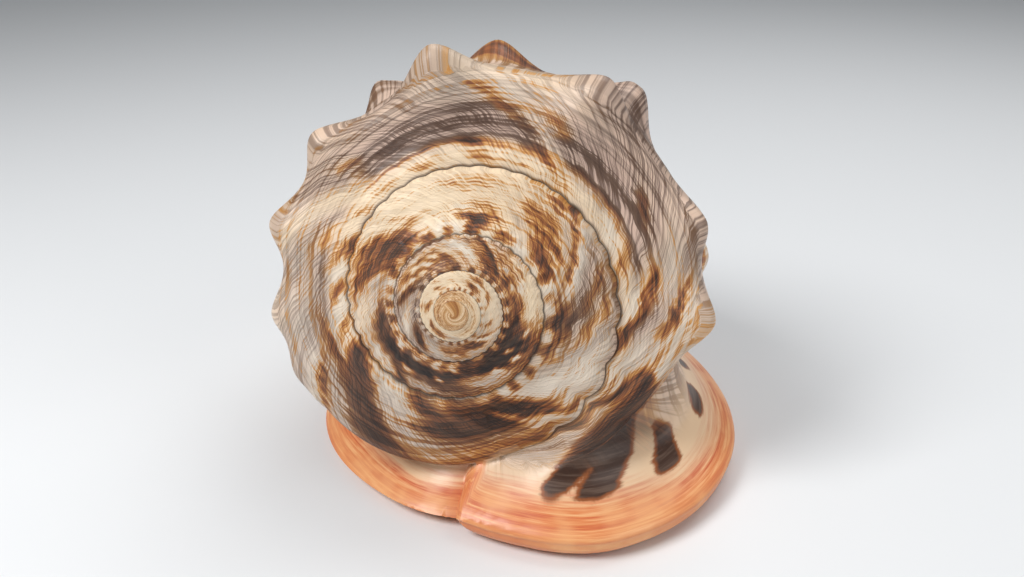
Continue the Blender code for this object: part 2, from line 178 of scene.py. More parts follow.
def scallop_phase(t):
    """Number of scallops passed since the lip: they are wide there, and small further back."""
    u = np.clip(t / WIDE_RANGE, 0.0, 1.0)
    small = WIDE_RANGE * (u**3 - u**4 / 2.0) + np.maximum(t - WIDE_RANGE, 0.0)
    return WIDE_SCALLOPS * t + (SCALLOPS - WIDE_SCALLOPS) * small


def suture(t):
    """Radius and height of the suture, t turns before the lip."""
    r = SUTURE_RADIUS * np.exp(-SUTURE_DECAY * t + SUTURE_SLOWING * t * t)
    phase = scallop_phase(t) + 0.35 * np.sin(5.3 * t) + 0.2 * np.sin(17.0 * t)
    depth = WIDE_DEPTH + (SCALLOP_DEPTH - WIDE_DEPTH) * ease(t / WIDE_RANGE)
    depth = depth * (0.8 + 0.3 * np.sin(9.1 * t + 1.0))
    arcs = np.sqrt(np.cos(np.pi * phase) ** 2 + 0.01)
    return r * (1.0 + depth * (2.0 * arcs - 1.2) * ease(t / RAMP_OPENS)), SPIRE_SLOPE * r


# %% [markdown]
# ## Relief across a whorl
#
# Seen from the apex, each whorl shows a ramp: a rounded cord beside the suture, a shallow groove
# with finer cords in it, and a swell before the edge. Old mouths are left as scars, each a low step
# that slants across the ramp, because a growth line doesn't run quite straight out from the axis.

# %% Ramp relief and scars
CREST_STEP = 0.035
CREST_INSET = 0.55
CREST_OPENS = 0.12
RAMP_RELIEF = [(0.12, 0.07, 0.032), (0.36, 0.13, -0.028), (0.85, 0.10, 0.030)]
FINE_CORDS = [(0.27, 0.016, 0.010), (0.33, 0.016, 0.011), (0.40, 0.018, 0.011),
              (0.48, 0.020, 0.010), (0.58, 0.024, 0.008), (0.70, 0.030, 0.006)]
GROWTH_SLANT = 0.123
# (growth age in turns, inner end, outer end, height in mm of the newer side)
SCARS = [(1.319, 0.30, 1.05, 0.9), (0.832, 0.52, 1.1, 0.8), (2.41, 0.2, 1.05, 0.5),
         (1.10, 0.25, 1.05, 0.35), (0.47, 0.1, 0.9, 0.25), (3.16, 0.2, 1.05, 0.3)]
SCAR_FADE = 0.05
BARS_PER_TURN = 21.0        # beads of the cord, and the bars painted on it
BEAD_DEPTH = 0.022
BARS_FADE_FROM = 3.9        # turns before the lip: the first whorls have no bars and beads
BARS_FADE_OVER = 0.5


def bar_wave(t):
    """1 on the bars between the beads, 0 on the beads."""
    phase = BARS_PER_TURN * t + 0.35 * np.sin(11.0 * t) + 0.2 * np.sin(29.0 * t + 1.0)
    return 0.5 + 0.5 * np.cos(2 * np.pi * phase)


def bars_fade(t):
    """1 on the later whorls, 0 on the first ones."""
    return ease((BARS_FADE_FROM - t) / BARS_FADE_OVER)


def growth(t, s):
    """Age of the shell's edge at t turns and place s across the ramp."""
    return t + GROWTH_SLANT * (1.0 - s)


def ramp_relief(s):
    """Relief across the ramp, over its width: the cord, the groove and the swell."""
    return sum(depth * bump(s, place, width) for place, width, depth in RAMP_RELIEF)


def fine_relief(t, s):
    """Finer cords and scars, over the ramp's width and in millimetres."""
    wobble = 0.012 * np.sin(2 * np.pi * 7.0 * t) + 0.008 * np.sin(2 * np.pi * 19.0 * t + 2.0)
    cords = sum(depth * bump(s + wobble, place, width) for place, width, depth in FINE_CORDS)
    cords = cords + BEAD_DEPTH * bump(s, 0.12, 0.08) * (0.5 - bar_wave(t)) * bars_fade(t)
    steps = np.zeros(np.shape(cords))
    for age, inner, outer, height in SCARS:
        newer = age - growth(t, s)
        edge = ease(newer / 0.009 + 0.5) * np.exp(-np.maximum(newer, 0.0) / SCAR_FADE)
        steps = steps + height * edge * ease((s - inner) / 0.12) * ease((outer - s) / 0.1)
    return cords, steps


def spire_start(t):
    """Suture at the inner edge of a spire whorl; the first whorl narrows to a point."""
    r, h = suture(t)
    r_out, h_out = suture(t - 1.0)
    taper = ease(TURNS - t)
    return r_out + (r - r_out) * taper, h_out + (h - h_out) * taper


def spire_point(t, s, rise):
    """Points of the spire: s runs across the ramp, rise down the step behind its crest."""
    r0, h0 = spire_start(t)
    r_out, h_out = suture(t - 1.0)
    step = CREST_STEP * r_out * ease(TURNS - t) * ease((t - 1.0) / CREST_OPENS)
    r1 = r_out - CREST_INSET * step
    h1 = h_out - step
    width = np.hypot(r1 - r0, h1 - h0)
    cords, steps = fine_relief(t, s)
    inside = ease(s / 0.06) * ease((1.0 - s) / 0.04)
    scale = np.minimum(r_out / SUTURE_RADIUS, 1.0)
    relief = (ramp_relief(s) + cords * inside) * width + steps * scale * ease((t - 1.0) / 0.05)
    r = r0 + (r1 - r0) * s + (r_out - r1) * rise
    h = h0 + (h1 - h0) * s + (h_out - h1) * rise * rise - relief * (1.0 - rise)
    return around(t, r, h)


# %% [markdown]
# ## The last whorl
#
# The last turn makes most of the shell: a ramp out to a knobbed shoulder, then a long side that
# narrows to the front. It is worked out as a distance from a point on the axis, which lets knobs
# and rows of lower knobs be added as plain swellings along that distance.

# %% Shoulder, side and knobs
SHOULDER = [(0.0, 47.5), (0.1, 57.0), (0.2, 61.6), (0.3, 62.4), (0.38, 62.2), (0.46, 59.6),
            (0.54, 54.8), (0.62, 52.8), (0.72, 50.9), (0.78, 52.4), (0.85, 53.8), (0.93, 51.8),
            (1.0, 47.0)]
SHOULDER_HEIGHT = 23.5
SHOULDER_DROP = 2.5
SIDE = [(0.0, 0.970), (0.028, 0.993), (0.065, 1.0), (0.13, 0.995), (0.27, 0.965), (0.42, 0.90),
        (0.57, 0.79), (0.71, 0.645), (0.83, 0.49), (0.92, 0.36), (0.975, 0.23), (1.0, 0.0)]
# (degrees around the axis, height)
SHOULDER_KNOBS = [(207, 2.5), (188, 4.8), (161, 6.6), (134, 7.6), (98, 11.0), (58, 8.6), (19, 6.6),
                  (-4, 7.8)]
SECOND_KNOBS = [(195, 3.0), (176, 4.5), (149, 6.0), (118, 8.6), (86, 8.2), (51, 10.0), (7, 6.0),
                (-18, 4.5)]
# (place along the axis, length, shift in degrees, share of the height)
LOWER_KNOBS = [(76.0, 9.0, -7.0, 0.40), (97.0, 8.0, -12.0, 0.26)]
KNOB_WIDTH = 8.0
KNOB_ROUND = 1.8
KNOB_ROUND_ALONG = 1.8
KNOB_FREE = 0.75
SHOULDER_ROUND = 0.1        # share of the side that the rounded shoulder takes
ROUND_OPENS = 0.12
ROUND_CLOSES = 0.08
CENTRE_H = 68.0
SIDE_CORDS = 26.0           # fine cords down the side
SIDE_CORD_DEPTH = 0.22


def shoulder(t):
    """Radius and place of the shoulder, t turns before the lip."""
    return through(t, SHOULDER), SHOULDER_HEIGHT + SHOULDER_DROP * (1.0 - t)


def knobs(angle, h):
    """Height of the knobs on the side of the last whorl."""
    total = np.zeros(np.shape(h))
    rows = [(26.0, 8.0, SHOULDER_KNOBS), (52.0, 8.5, SECOND_KNOBS)]
    for row_h, length, shift, share in LOWER_KNOBS:
        row = [(place + shift, share * height) for place, height in SHOULDER_KNOBS]
        rows.append((row_h, length, row))
    for row_h, length, row in rows:
        along = np.exp(-np.abs((h - row_h) / length) ** KNOB_ROUND_ALONG)
        for place, height in row:
            off = (angle - place + 180.0) % 360.0 - 180.0
            total += height * along * np.exp(-np.abs(off / KNOB_WIDTH) ** KNOB_ROUND)
    return total


# %% The last whorl as a distance from a point on its axis
def barrel(t, theta, detail):
    """Distance from the axis point at CENTRE_H to the last whorl, at angles theta from the apex."""
    r0, h0 = suture(t)
    rc, hc = shoulder(t)
    share = np.arange(8)[:, None] / 8.0
    width = np.hypot(rc - r0, hc - h0)
    u = np.array([p[0] for p in SIDE])[:, None]
    factor = np.array([p[1] for p in SIDE])[:, None]
    rounded = np.where(u < SHOULDER_ROUND, ease(t / ROUND_OPENS) * ease((1.0 - t) / ROUND_CLOSES), 1.0)
    factor = 1.0 - (1.0 - factor) * rounded
    r = np.concatenate([r0 + (rc - r0) * share, rc * factor])
    h = np.concatenate([h0 + (hc - h0) * share - ramp_relief(share) * width,
                        hc + (LENGTH - hc) * u])
    rho = curve(theta, np.arctan2(r, CENTRE_H - h), np.hypot(r, CENTRE_H - h))
    place = CENTRE_H - rho * np.cos(theta)
    s = (rho * np.sin(theta) - r0) / (rc - r0)
    rho = rho + knobs(LIP_ANGLE + 360.0 * t, place) * ease(s / KNOB_FREE)
    if detail:
        on_ramp = ease((hc + 3.0 - place) / 4.0)
        cords, steps = fine_relief(t, s)
        inside = ease(s / 0.06) * on_ramp
        side_cords = SIDE_CORD_DEPTH * np.cos(2 * np.pi * SIDE_CORDS * (place - hc) / (LENGTH - hc))
        rho = rho + cords * width * inside + steps * ease(s / 0.1) * on_ramp
        rho = rho + side_cords * (1.0 - on_ramp)
    return rho


# %% [markdown]
# ## Lip, shield and mouth
#
# The mouth opens downwards as a long slot between a rolled outer lip and a broad shield. Both end
# in a thick rounded rim with a hollow flange behind it. Their outline is given as seen from below,
# and the teeth of the lip and the folds of the shield stand across the slot.

# %% Edges of the mouth
LIP_EDGE = [(-4, 2), (3, -1), (9, -3.5), (18, -6), (28, -7.5), (39, -6.5), (52, 0), (64, 11),
            (73, 26), (78, 43), (78.5, 62), (75, 80), (67, 100), (56, 118), (43, 134), (29, 147),
            (16, 156), (4, 161), (-8, 158)]
SHIELD_EDGE = [(16, 156), (4, 161), (-8, 157), (-20, 146), (-32, 130), (-42, 110), (-48, 88),
               (-49.5, 66), (-46.8, 49), (-40.5, 35.5), (-32.5, 25), (-24, 16), (-15.5, 9.5), (-6, 6),
               (4, 6), (14, 9)]
LIP_THICKNESS = 11.0
SHIELD_THICKNESS = 7.5
LIP_FLANGE = 20.0
SHIELD_FLANGE = 13.0
FLANGE_RISE = 1.35
EDGE_ROLL = [(2.6, 0.0), (1.3, 0.0), (0.35, 0.32), (0.0, 1.0), (0.25, 1.6), (0.95, 2.0)]
FLAT_KNOTS = 2
FLANGE_ROLL = [(0.5, 0.12), (0.8, 0.40), (1.0, 0.75), (1.2, 1.3)]
FLANGE_FADE = 4.0
# (height, x): where the lip starts over the shield; it bulges half way up
NOTCH = [(0.0, 5.0), (3.0, 1.2), (6.5, -1.2), (10.0, 0.4), (14.0, 4.0), (20.0, 6.0)]
NOTCH_WIDTH = 2.4
CANAL_BEARING = 88.0
CANAL_BLEND = 14.0
FRONT_SLIM = 0.4
FRONT_SLIM_REACH = 35.0
CANAL_LIFT = 12.0
CANAL_LIFT_START = 112.0
CANAL_LIFT_RUN = 75.0
FLAT_BAND = 0.4
FACE_BLEND = 1.5
# (place, middle, half width, top)
SLOT = [(12, 7.5, 0.8, 5.0), (20, 8.5, 4.0, 12.0), (35, 9.5, 5.2, 24.0), (60, 10.0, 6.2, 30.0),
        (95, 9.5, 6.4, 30.0), (125, 6.5, 6.0, 25.0), (150, 3.5, 4.8, 24.0), (180, 2.0, 4.6, 30.0)]
SLOT_FUNNEL = 4.0
FUNNEL_REACH = 7.0
TEETH_START = 24.0
TEETH_END = 138.0
TOOTH_PITCH = 5.2
FOLD_PITCH = 4.3
HUB = np.array([10.0, 66.0, 36.0])
LEVEL = 0.05


def teeth(y, side):
    """Row of rounded teeth along the slot, from 0 between them to 1 on top."""
    pitch = np.where(side > 0.0, TOOTH_PITCH, FOLD_PITCH)
    wave = 0.5 + 0.5 * np.cos(2 * np.pi * (y + 1.1 * np.sin(y / 9.0)) / pitch)
    return wave ** 1.5 * ease((y - TEETH_START) / 8.0) * ease((TEETH_END - y) / 8.0)


def edge_reach(phi, edge):
    """Distance of an edge of the face from the foot of the hub, by bearing, and where it is."""
    x = np.array([p[0] for p in edge], float) - HUB[0]
    y = np.array([p[1] for p in edge], float) - HUB[1]
    bearing = np.degrees(np.unwrap(np.arctan2(y, x)))
    turned = phi + 360.0 * np.ceil((bearing[0] - phi) / 360.0)
    return curve(turned, bearing, np.hypot(x, y)), turned <= bearing[-1]


def rim(phi, z):
    """Reach of the rim by bearing and height, and 1 where it is the lip's or 0 where the shield's."""
    lip, lip_there = edge_reach(phi, LIP_EDGE)
    shield, shield_there = edge_reach(phi, SHIELD_EDGE)
    x_here = HUB[0] + lip * np.cos(np.radians(phi))
    to_lip = np.where(phi < 0.0, ease((x_here - through(z, NOTCH)) / NOTCH_WIDTH + 0.5),
                      ease((CANAL_BEARING - phi) / CANAL_BLEND + 0.5))
    to_lip = np.where(lip_there, np.where(shield_there, to_lip, 1.0), 0.0)
    return shield + (lip - shield) * to_lip, to_lip


# %% The face, its rolled edge and its flange
def face(d):
    """Distance from the hub to the aperture face, its rolled edge and flange, along d."""
    phi = np.degrees(np.arctan2(d[:, 1], d[:, 0]))
    psi = np.arctan2(np.hypot(d[:, 0], d[:, 1]), -d[:, 2])
    level = HUB[2] - edge_reach(phi, LIP_EDGE)[0] / np.tan(np.clip(psi, 0.3, 1.9))
    reach, to_lip = rim(phi, level)
    slim = 1.0 - FRONT_SLIM * np.exp(-((phi - 90.0) / FRONT_SLIM_REACH) ** 2)
    half = (SHIELD_THICKNESS + (LIP_THICKNESS - SHIELD_THICKNESS) * to_lip) * slim / 2.0
    flange = SHIELD_FLANGE + (LIP_FLANGE - SHIELD_FLANGE) * to_lip
    rise = FLANGE_RISE * flange

    down = np.maximum(np.cos(psi), LEVEL)
    on_face = HUB[:2] + (HUB[2] / down)[:, None] * d[:, :2]
    aside = on_face[:, 0] - through(on_face[:, 1], SLOT)
    off = np.maximum(np.abs(aside) - through(on_face[:, 1], SLOT, 2), 0.0)
    crown = 0.75 * teeth(on_face[:, 1], aside) * np.exp(-(off / 6.0) ** 2)
    funnel = SLOT_FUNNEL * np.exp(-(off / FUNNEL_REACH) ** 2) * (1.0 - crown)
    sole = (HUB[2] - funnel + FLAT_BAND) / down

    w = np.stack([reach - inward * half for inward, _ in EDGE_ROLL]
                 + [reach - inward * flange for inward, _ in FLANGE_ROLL])
    z = np.stack([up * half for _, up in EDGE_ROLL]
                 + [2.0 * half + up * rise for _, up in FLANGE_ROLL])
    z[:FLAT_KNOTS] -= FLAT_BAND
    turn = np.arctan2(w, HUB[2] - z)
    rolled = curve(psi, turn, np.hypot(w, HUB[2] - z))
    rolled = rolled * np.exp(-FLANGE_FADE * np.maximum(psi - turn[-1], 0.0))
    return np.where(psi <= turn[0], sole, rolled)


# %% [markdown]
# ## One outside
#
# The whorl and the mouth's face meet in a rounded valley, as they do on a shell whose lip was
# thickened last. Both are measured from one point inside, the hub, so the outside is simply the
# farther of the two. Columns of corners run out from under the suture to the foot of the hub.

# %% The outside as a distance from the hub
HUB_STEPS = 12
HUB_START = 60.0
JOIN = 0.06
JOIN_CLOSES = 0.06          # last turns of the ramp over which its edge comes free of the lip again


def axis_place(p):
    """Points of the lying frame as (x, h, z) in the axis frame, before the front droops."""
    up = p[..., 2] - APEX_HEIGHT
    h = p[..., 1] * math.cos(TILT) - up * math.sin(TILT)
    z = p[..., 1] * math.sin(TILT) + up * math.cos(TILT) + droop(h)
    return p[..., 0], h, z


def body(d, detail):
    """Distance from the hub to the last whorl along d, found by stepping."""
    rho = np.full(len(d), HUB_START)
    for _ in range(HUB_STEPS):
        x, h, z = axis_place(HUB + d * rho[:, None])
        turn = (np.degrees(np.arctan2(z, x)) - LIP_ANGLE) / 360.0 % 1.0
        away = np.sqrt(x * x + (h - CENTRE_H) ** 2 + z * z)
        rho = rho * barrel(turn, np.arctan2(np.hypot(x, z), CENTRE_H - h), detail) / away
    return rho


def flatten(d):
    """Directions to a plane in which straight down is at infinity."""
    return d[..., :2] / (1.0 + d[..., 2:])


def unflatten(q):
    """Points of that plane to directions."""
    square = np.sum(q * q, axis=-1, keepdims=True)
    return np.concatenate([2.0 * q, 1.0 - square], -1) / (1.0 + square)


APEX_POLE = flatten(unit(to_lying(np.array([0.0, 10.0, 0.0])) - HUB))


def outer_points(d, free, detail=True):
    """Points of the outside along d; free grows from 0 at the suture, where the lip joins it."""
    shape = d.shape[:-1]
    d = d.reshape(-1, 3)
    whorl = body(d, detail)
    joined = blend_max(whorl, face(d), FACE_BLEND)
    out = HUB + d * (whorl + (joined - whorl) * np.ravel(free))[:, None]
    return out.reshape(shape + (3,))


# %% [markdown]
# ## Rows where they are needed
#
# The rolled edge bends far more than the side above it, so evenly spaced rows would cut its
# corners. Each column is first walked in fine steps without detail, and its rows are then spaced by
# length plus a share of the bending. Neighbouring columns are evened out, so that no row jumps.

# %% Rows of the last whorl, closer together where it bends
COLUMNS = 480               # columns of corners per turn
RAMP_ROWS = 14
RISER_ROWS = 2
SIDE_ROWS = 98
FINE_STEPS = 240
BEND_SHARE = 7.0
EVEN_COLUMNS = 14           # columns to each side over which the rows are evened out
EVEN_FROM = 8.0             # and the row where that is complete, so the lip's start shows no seam
LAST_SHARE = 0.97


def lower_rows():
    """Corners of the last whorl, by column and row: the ramp first, then the side."""
    t = np.arange(COLUMNS) / COLUMNS
    r0, h0 = suture(t)
    rc, hc = shoulder(t)
    start = np.arctan2(r0, CENTRE_H - h0)
    crest = start + (np.arctan2(rc, CENTRE_H - hc) - start) * ease(t / RAMP_OPENS)
    theta = start[:, None] + (crest - start)[:, None] * np.arange(RAMP_ROWS + 1) / RAMP_ROWS
    time = np.repeat(t[:, None], RAMP_ROWS + 1, 1)
    rho = barrel(time.ravel(), theta.ravel(), True).reshape(theta.shape)
    ramp = unit(around(time, rho * np.sin(theta), CENTRE_H - rho * np.cos(theta)) - HUB)
    from_apex = flatten(ramp[:, -1]) - APEX_POLE
    reach = np.linalg.norm(from_apex, axis=1)[:, None]
    heading = (from_apex / reach)[:, None, :]
    closing = ease((t - 1.0 + JOIN_CLOSES) / JOIN_CLOSES)[:, None]
    free = ease((theta - start[:, None]) / JOIN)
    free = free * (1.0 - closing * ease(1.0 - (crest[:, None] - theta) / JOIN))

    def side(run, detail):
        d = unflatten(APEX_POLE + heading * run[..., None])
        return outer_points(d, ease((run - reach) / JOIN + free[:, -1:]), detail)

    fine = np.linspace(0.0, LAST_SHARE, FINE_STEPS)
    steps = np.diff(side(reach + fine / (1.0 - fine), False), axis=1)
    length = np.linalg.norm(steps, axis=2)
    along = steps / length[..., None]
    bend = np.arccos(np.clip(np.sum(along[:, 1:] * along[:, :-1], axis=2), -1.0, 1.0))
    length[:, 1:] += BEND_SHARE * bend
    travelled = np.concatenate([np.zeros((COLUMNS, 1)), np.cumsum(length, axis=1)], axis=1)
    share = np.stack([np.interp(row[-1] * np.arange(1, SIDE_ROWS) / SIDE_ROWS, row, fine)
                      for row in travelled])
    run = reach + share / (1.0 - share)
    shifts = range(-EVEN_COLUMNS, EVEN_COLUMNS + 1)
    wide = sum(np.roll(run, n, 0) for n in shifts) / len(shifts)
    run = run + (wide - run) * ease(np.arange(1, SIDE_ROWS) / EVEN_FROM)
    run = np.maximum.accumulate(np.maximum(run, reach + 0.001), axis=1)
    run = run + 1e-5 * np.arange(1, SIDE_ROWS)
    return np.concatenate([outer_points(ramp, free), side(run, True)], axis=1)


# %% [markdown]
# ## The growth map
#
# Colour on a shell is laid down with the shell, so each corner of a face carries its growth map:
# turns before the lip, and place across the whorl (0 to 1 on the ramp, 1 to 2 down the side). It is
# kept by corner, as a UV map is, because a corner on a suture belongs to two whorls at once.

# %% Growth places of the last whorl
def growth_map(points, column):
    """Turns and place across the whorl of points on the last whorl, near a column's own turn."""
    x, h, z = axis_place(points)
    near = np.clip(column / COLUMNS, 0.0, 1.0)
    t = (np.degrees(np.arctan2(z, x)) - LIP_ANGLE) / 360.0
    t = t + np.round(near - t)
    inside = np.clip(t, 0.0, 1.0)
    r0, h0 = suture(inside)
    rc, hc = shoulder(inside)
    ramp = np.clip((np.hypot(x, z) - r0) / np.maximum(rc - r0, 1.0), 0.0, 1.0)
    down = (h - hc) / (LENGTH - hc)
    return t, np.where(down > 0.0, 1.0 + np.clip(down, 0.0, 1.0), ramp)


# %% Build the outside
def outside():
    """Corners, faces and the growth map of the faces' corners."""
    last = round(TURNS * COLUMNS)
    rows = RAMP_ROWS + RISER_ROWS
    i = np.arange(COLUMNS, last + 1)[:, None]
    j = np.arange(rows + 1)[None, :]
    t = np.repeat(i / COLUMNS, rows + 1, 1)
    s = np.repeat(np.minimum(j / RAMP_ROWS, 1.0), len(i), 0)
    rise = np.repeat(np.maximum(j - RAMP_ROWS, 0) / RISER_ROWS, len(i), 0)
    spire = spire_point(t, s, rise)
    lower = lower_rows()
    lower_rows_count = RAMP_ROWS + SIDE_ROWS

    points = []
    index = {}

    def corner(key, point):
        if key not in index:
            index[key] = len(points)
            points.append(point)
        return index[key]

    def suture_corner(n):
        turn = n / COLUMNS
        r, h = suture(turn) if n < COLUMNS else spire_start(turn)
        return corner(("suture", n), around(turn, r, h))

    faces = []
    maps = []

    def add(corners, values):
        kept = [n for n in range(len(corners)) if corners[n] != corners[n - 1]]
        if len({corners[n] for n in kept}) >= 3:
            faces.append([corners[n] for n in kept])
            maps.extend(values[n] for n in kept)

    def add_grid(columns, rows, grid, at):
        for n in columns:
            for k in range(rows):
                ring = [(n, k), (n, k + 1), (n + 1, k + 1), (n + 1, k)]
                add([grid[a] for a in ring], [at[a] for a in ring])

    strip = {}
    for n in range(COLUMNS, last + 1):
        for k in range(rows + 1):
            if k == rows or n == last or (n == COLUMNS and k >= RAMP_ROWS):
                strip[n, k] = suture_corner(n - COLUMNS)
            elif k == 0:
                strip[n, k] = suture_corner(n)
            else:
                strip[n, k] = corner(("spire", n, k), spire[n - COLUMNS, k])
    across = [min(k / RAMP_ROWS, 1.0) for k in range(rows + 1)]
    add_grid(range(COLUMNS, last), rows, strip, {(n, k): (n / COLUMNS, across[k]) for n, k in strip})

    foot = corner("foot", outer_points(np.array([[0.0, 0.0, -1.0]]), np.ones(1))[0])
    ids = {}
    for n in range(COLUMNS):
        for k in range(lower_rows_count):
            if k == 0 or (n == 0 and k <= RAMP_ROWS):
                ids[n, k] = suture_corner(n)
            else:
                ids[n, k] = corner(("lower", n, k), lower[n, k])
        ids[n, lower_rows_count] = foot
    for k in range(lower_rows_count + 1):
        ids[COLUMNS, k] = strip[COLUMNS, k] if k <= RAMP_ROWS else ids[0, k]
    at = {}
    for n in range(COLUMNS + 1):
        column = np.array([points[ids[n, k]] for k in range(lower_rows_count + 1)])
        turn, place = growth_map(column, float(n))
        turn[0] = n / COLUMNS
        place[0] = 0.0
        if n == COLUMNS:
            turn[:RAMP_ROWS + 1] = 1.0
            place[:RAMP_ROWS + 1] = np.arange(RAMP_ROWS + 1) / RAMP_ROWS
        for k in range(lower_rows_count + 1):
            at[n, k] = (float(turn[k]), float(place[k]))
    add_grid(range(COLUMNS), lower_rows_count, ids, at)

    tip = corner("tip", to_lying(np.zeros(3)))
    for n in range(last - COLUMNS, last):
        add([strip[n, 0], strip[n + 1, 0], tip],
            [(n / COLUMNS, 0.0), ((n + 1) / COLUMNS, 0.0), (TURNS, 0.0)])

    points = np.array(points)
    lift = CANAL_LIFT * ease((points[:, 1] - CANAL_LIFT_START) / CANAL_LIFT_RUN)
    points[:, 2] = np.maximum(points[:, 2], 0.0) + lift
    return points, faces, np.array(maps)


# %% [markdown]
# ## Brush strokes
#
# Each patch of colour is a soft oval stroke in growth places: turns before the lip, place across
# the whorl, and half sizes in both. A stroke leans with the growth lines and pulls three amounts
# towards its paint's own: pigment (pale, gold, rust, umber, black), mauve ground and grey ground.
# An image would fix the colours to one view; amounts can be sharpened by the shader at any size.

# %% Paints and strokes
# name: (pigment, mauve ground, grey ground)
PAINTS = {
    "cream": (0.0, 0.0, 0.1), "white": (0.0, 0.0, 0.75), "lilac": (0.05, 0.45, 0.8),
    "gold": (0.34, 0.1, 0.1), "rust": (0.56, 0.3, 0.0), "umber": (0.78, 0.5, 0.1),
    "black": (1.0, 0.5, 0.3), "mauve": (0.10, 1.0, 0.1), "rose": (0.05, 0.7, 0.0),
    "stone": (0.10, 0.65, 0.7), "slate": (0.62, 0.9, 0.7), "peach": (0.13, 0.15, 0.0),
    "amber": (0.30, 0.0, 0.0)}
# (turns before the lip, place across, half length in turns, half width, paint, strength)
LAST_RAMP = [
    (0.5, 0.5, 0.34, 0.55, "mauve", 0.95), (0.45, 0.9, 0.3, 0.25, "rose", 0.7),
    (0.86, 0.6, 0.16, 0.6, "stone", 0.7), (0.06, 0.7, 0.07, 0.5, "lilac", 0.8),
    (0.3, 0.1, 0.25, 0.12, "cream", 0.8), (0.6, 0.12, 0.25, 0.14, "cream", 0.9),
    (0.17, 0.7, 0.035, 0.35, "white", 0.9), (0.1, 0.12, 0.02, 0.2, "white", 0.8),
    (0.068, 0.1, 0.016, 0.16, "umber", 0.9), (0.07, 0.55, 0.012, 0.35, "slate", 0.5),
    (0.092, 0.9, 0.016, 0.16, "black", 0.9), (0.125, 0.35, 0.012, 0.3, "umber", 0.85),
    (0.135, 0.12, 0.015, 0.2, "rust", 0.8), (0.157, 0.25, 0.014, 0.25, "white", 0.9),
    (0.19, 0.16, 0.014, 0.2, "umber", 0.95), (0.215, 0.22, 0.012, 0.18, "white", 0.8),
    (0.226, 0.42, 0.013, 0.09, "umber", 0.95), (0.24, 0.42, 0.026, 0.13, "gold", 0.4),
    (0.258, 0.12, 0.016, 0.14, "rust", 0.8), (0.285, 0.14, 0.014, 0.12, "white", 0.7),
    (0.2, 0.66, 0.008, 0.1, "black", 0.9), (0.215, 0.76, 0.01, 0.1, "umber", 0.8),
    (0.245, 0.7, 0.02, 0.16, "white", 0.7), (0.293, 0.58, 0.012, 0.09, "umber", 0.85),
    (0.33, 0.3, 0.06, 0.035, "umber", 0.65), (0.43, 0.26, 0.08, 0.03, "umber", 0.6),
    (0.555, 0.27, 0.06, 0.03, "umber", 0.6), (0.457, 0.25, 0.01, 0.03, "black", 1.0),
    (0.437, 0.24, 0.02, 0.05, "gold", 0.5), (0.33, 0.46, 0.05, 0.035, "slate", 0.7),
    (0.5, 0.48, 0.06, 0.06, "slate", 0.6), (0.565, 0.44, 0.05, 0.03, "umber", 0.5),
    (0.39, 0.6, 0.012, 0.12, "rust", 0.7), (0.437, 0.62, 0.006, 0.16, "rust", 0.6),
    (0.58, 0.62, 0.01, 0.1, "rust", 0.8), (0.43, 0.95, 0.045, 0.16, "cream", 0.7),
    (0.56, 0.93, 0.03, 0.14, "rose", 0.7), (0.615, 0.5, 0.02, 0.6, "cream", 0.85),
    (0.455, 0.8, 0.05, 0.13, "lilac", 0.6), (0.36, 0.12, 0.012, 0.1, "gold", 0.8),
    (0.445, 0.1, 0.012, 0.08, "rust", 0.6), (0.395, 0.08, 0.01, 0.06, "gold", 0.6),
    (0.51, 0.08, 0.012, 0.07, "gold", 0.8), (0.555, 0.08, 0.01, 0.07, "gold", 0.7),
    (0.602, 0.14, 0.008, 0.09, "gold", 0.9), (0.648, 0.36, 0.014, 0.12, "gold", 0.8),
    (0.655, 0.12, 0.014, 0.18, "rust", 0.85), (0.69, 0.16, 0.014, 0.14, "white", 0.8),
    (0.705, 0.12, 0.01, 0.12, "umber", 0.8), (0.735, 0.14, 0.014, 0.2, "white", 0.8),
    (0.755, 0.12, 0.012, 0.13, "rust", 0.85), (0.785, 0.18, 0.016, 0.18, "white", 0.85),
    (0.69, 0.6, 0.035, 0.1, "rust", 0.5), (0.775, 0.43, 0.035, 0.05, "umber", 0.85),
    (0.7, 0.75, 0.04, 0.2, "lilac", 0.6), (0.775, 0.75, 0.05, 0.24, "lilac", 0.8),
    (0.812, 0.24, 0.02, 0.22, "umber", 0.95), (0.86, 0.62, 0.022, 0.4, "slate", 0.95),
    (0.862, 0.62, 0.03, 0.5, "umber", 0.6), (0.87, 0.18, 0.024, 0.2, "white", 0.9),
    (0.9, 0.55, 0.018, 0.35, "lilac", 0.7), (0.918, 0.2, 0.02, 0.16, "umber", 0.85),
    (0.945, 0.12, 0.01, 0.09, "white", 0.8), (0.962, 0.5, 0.05, 0.12, "black", 0.8),
    (0.968, 0.22, 0.018, 0.13, "umber", 0.8), (0.96, 0.82, 0.05, 0.14, "rust", 0.75),
    (0.93, 0.7, 0.03, 0.12, "stone", 0.7)]
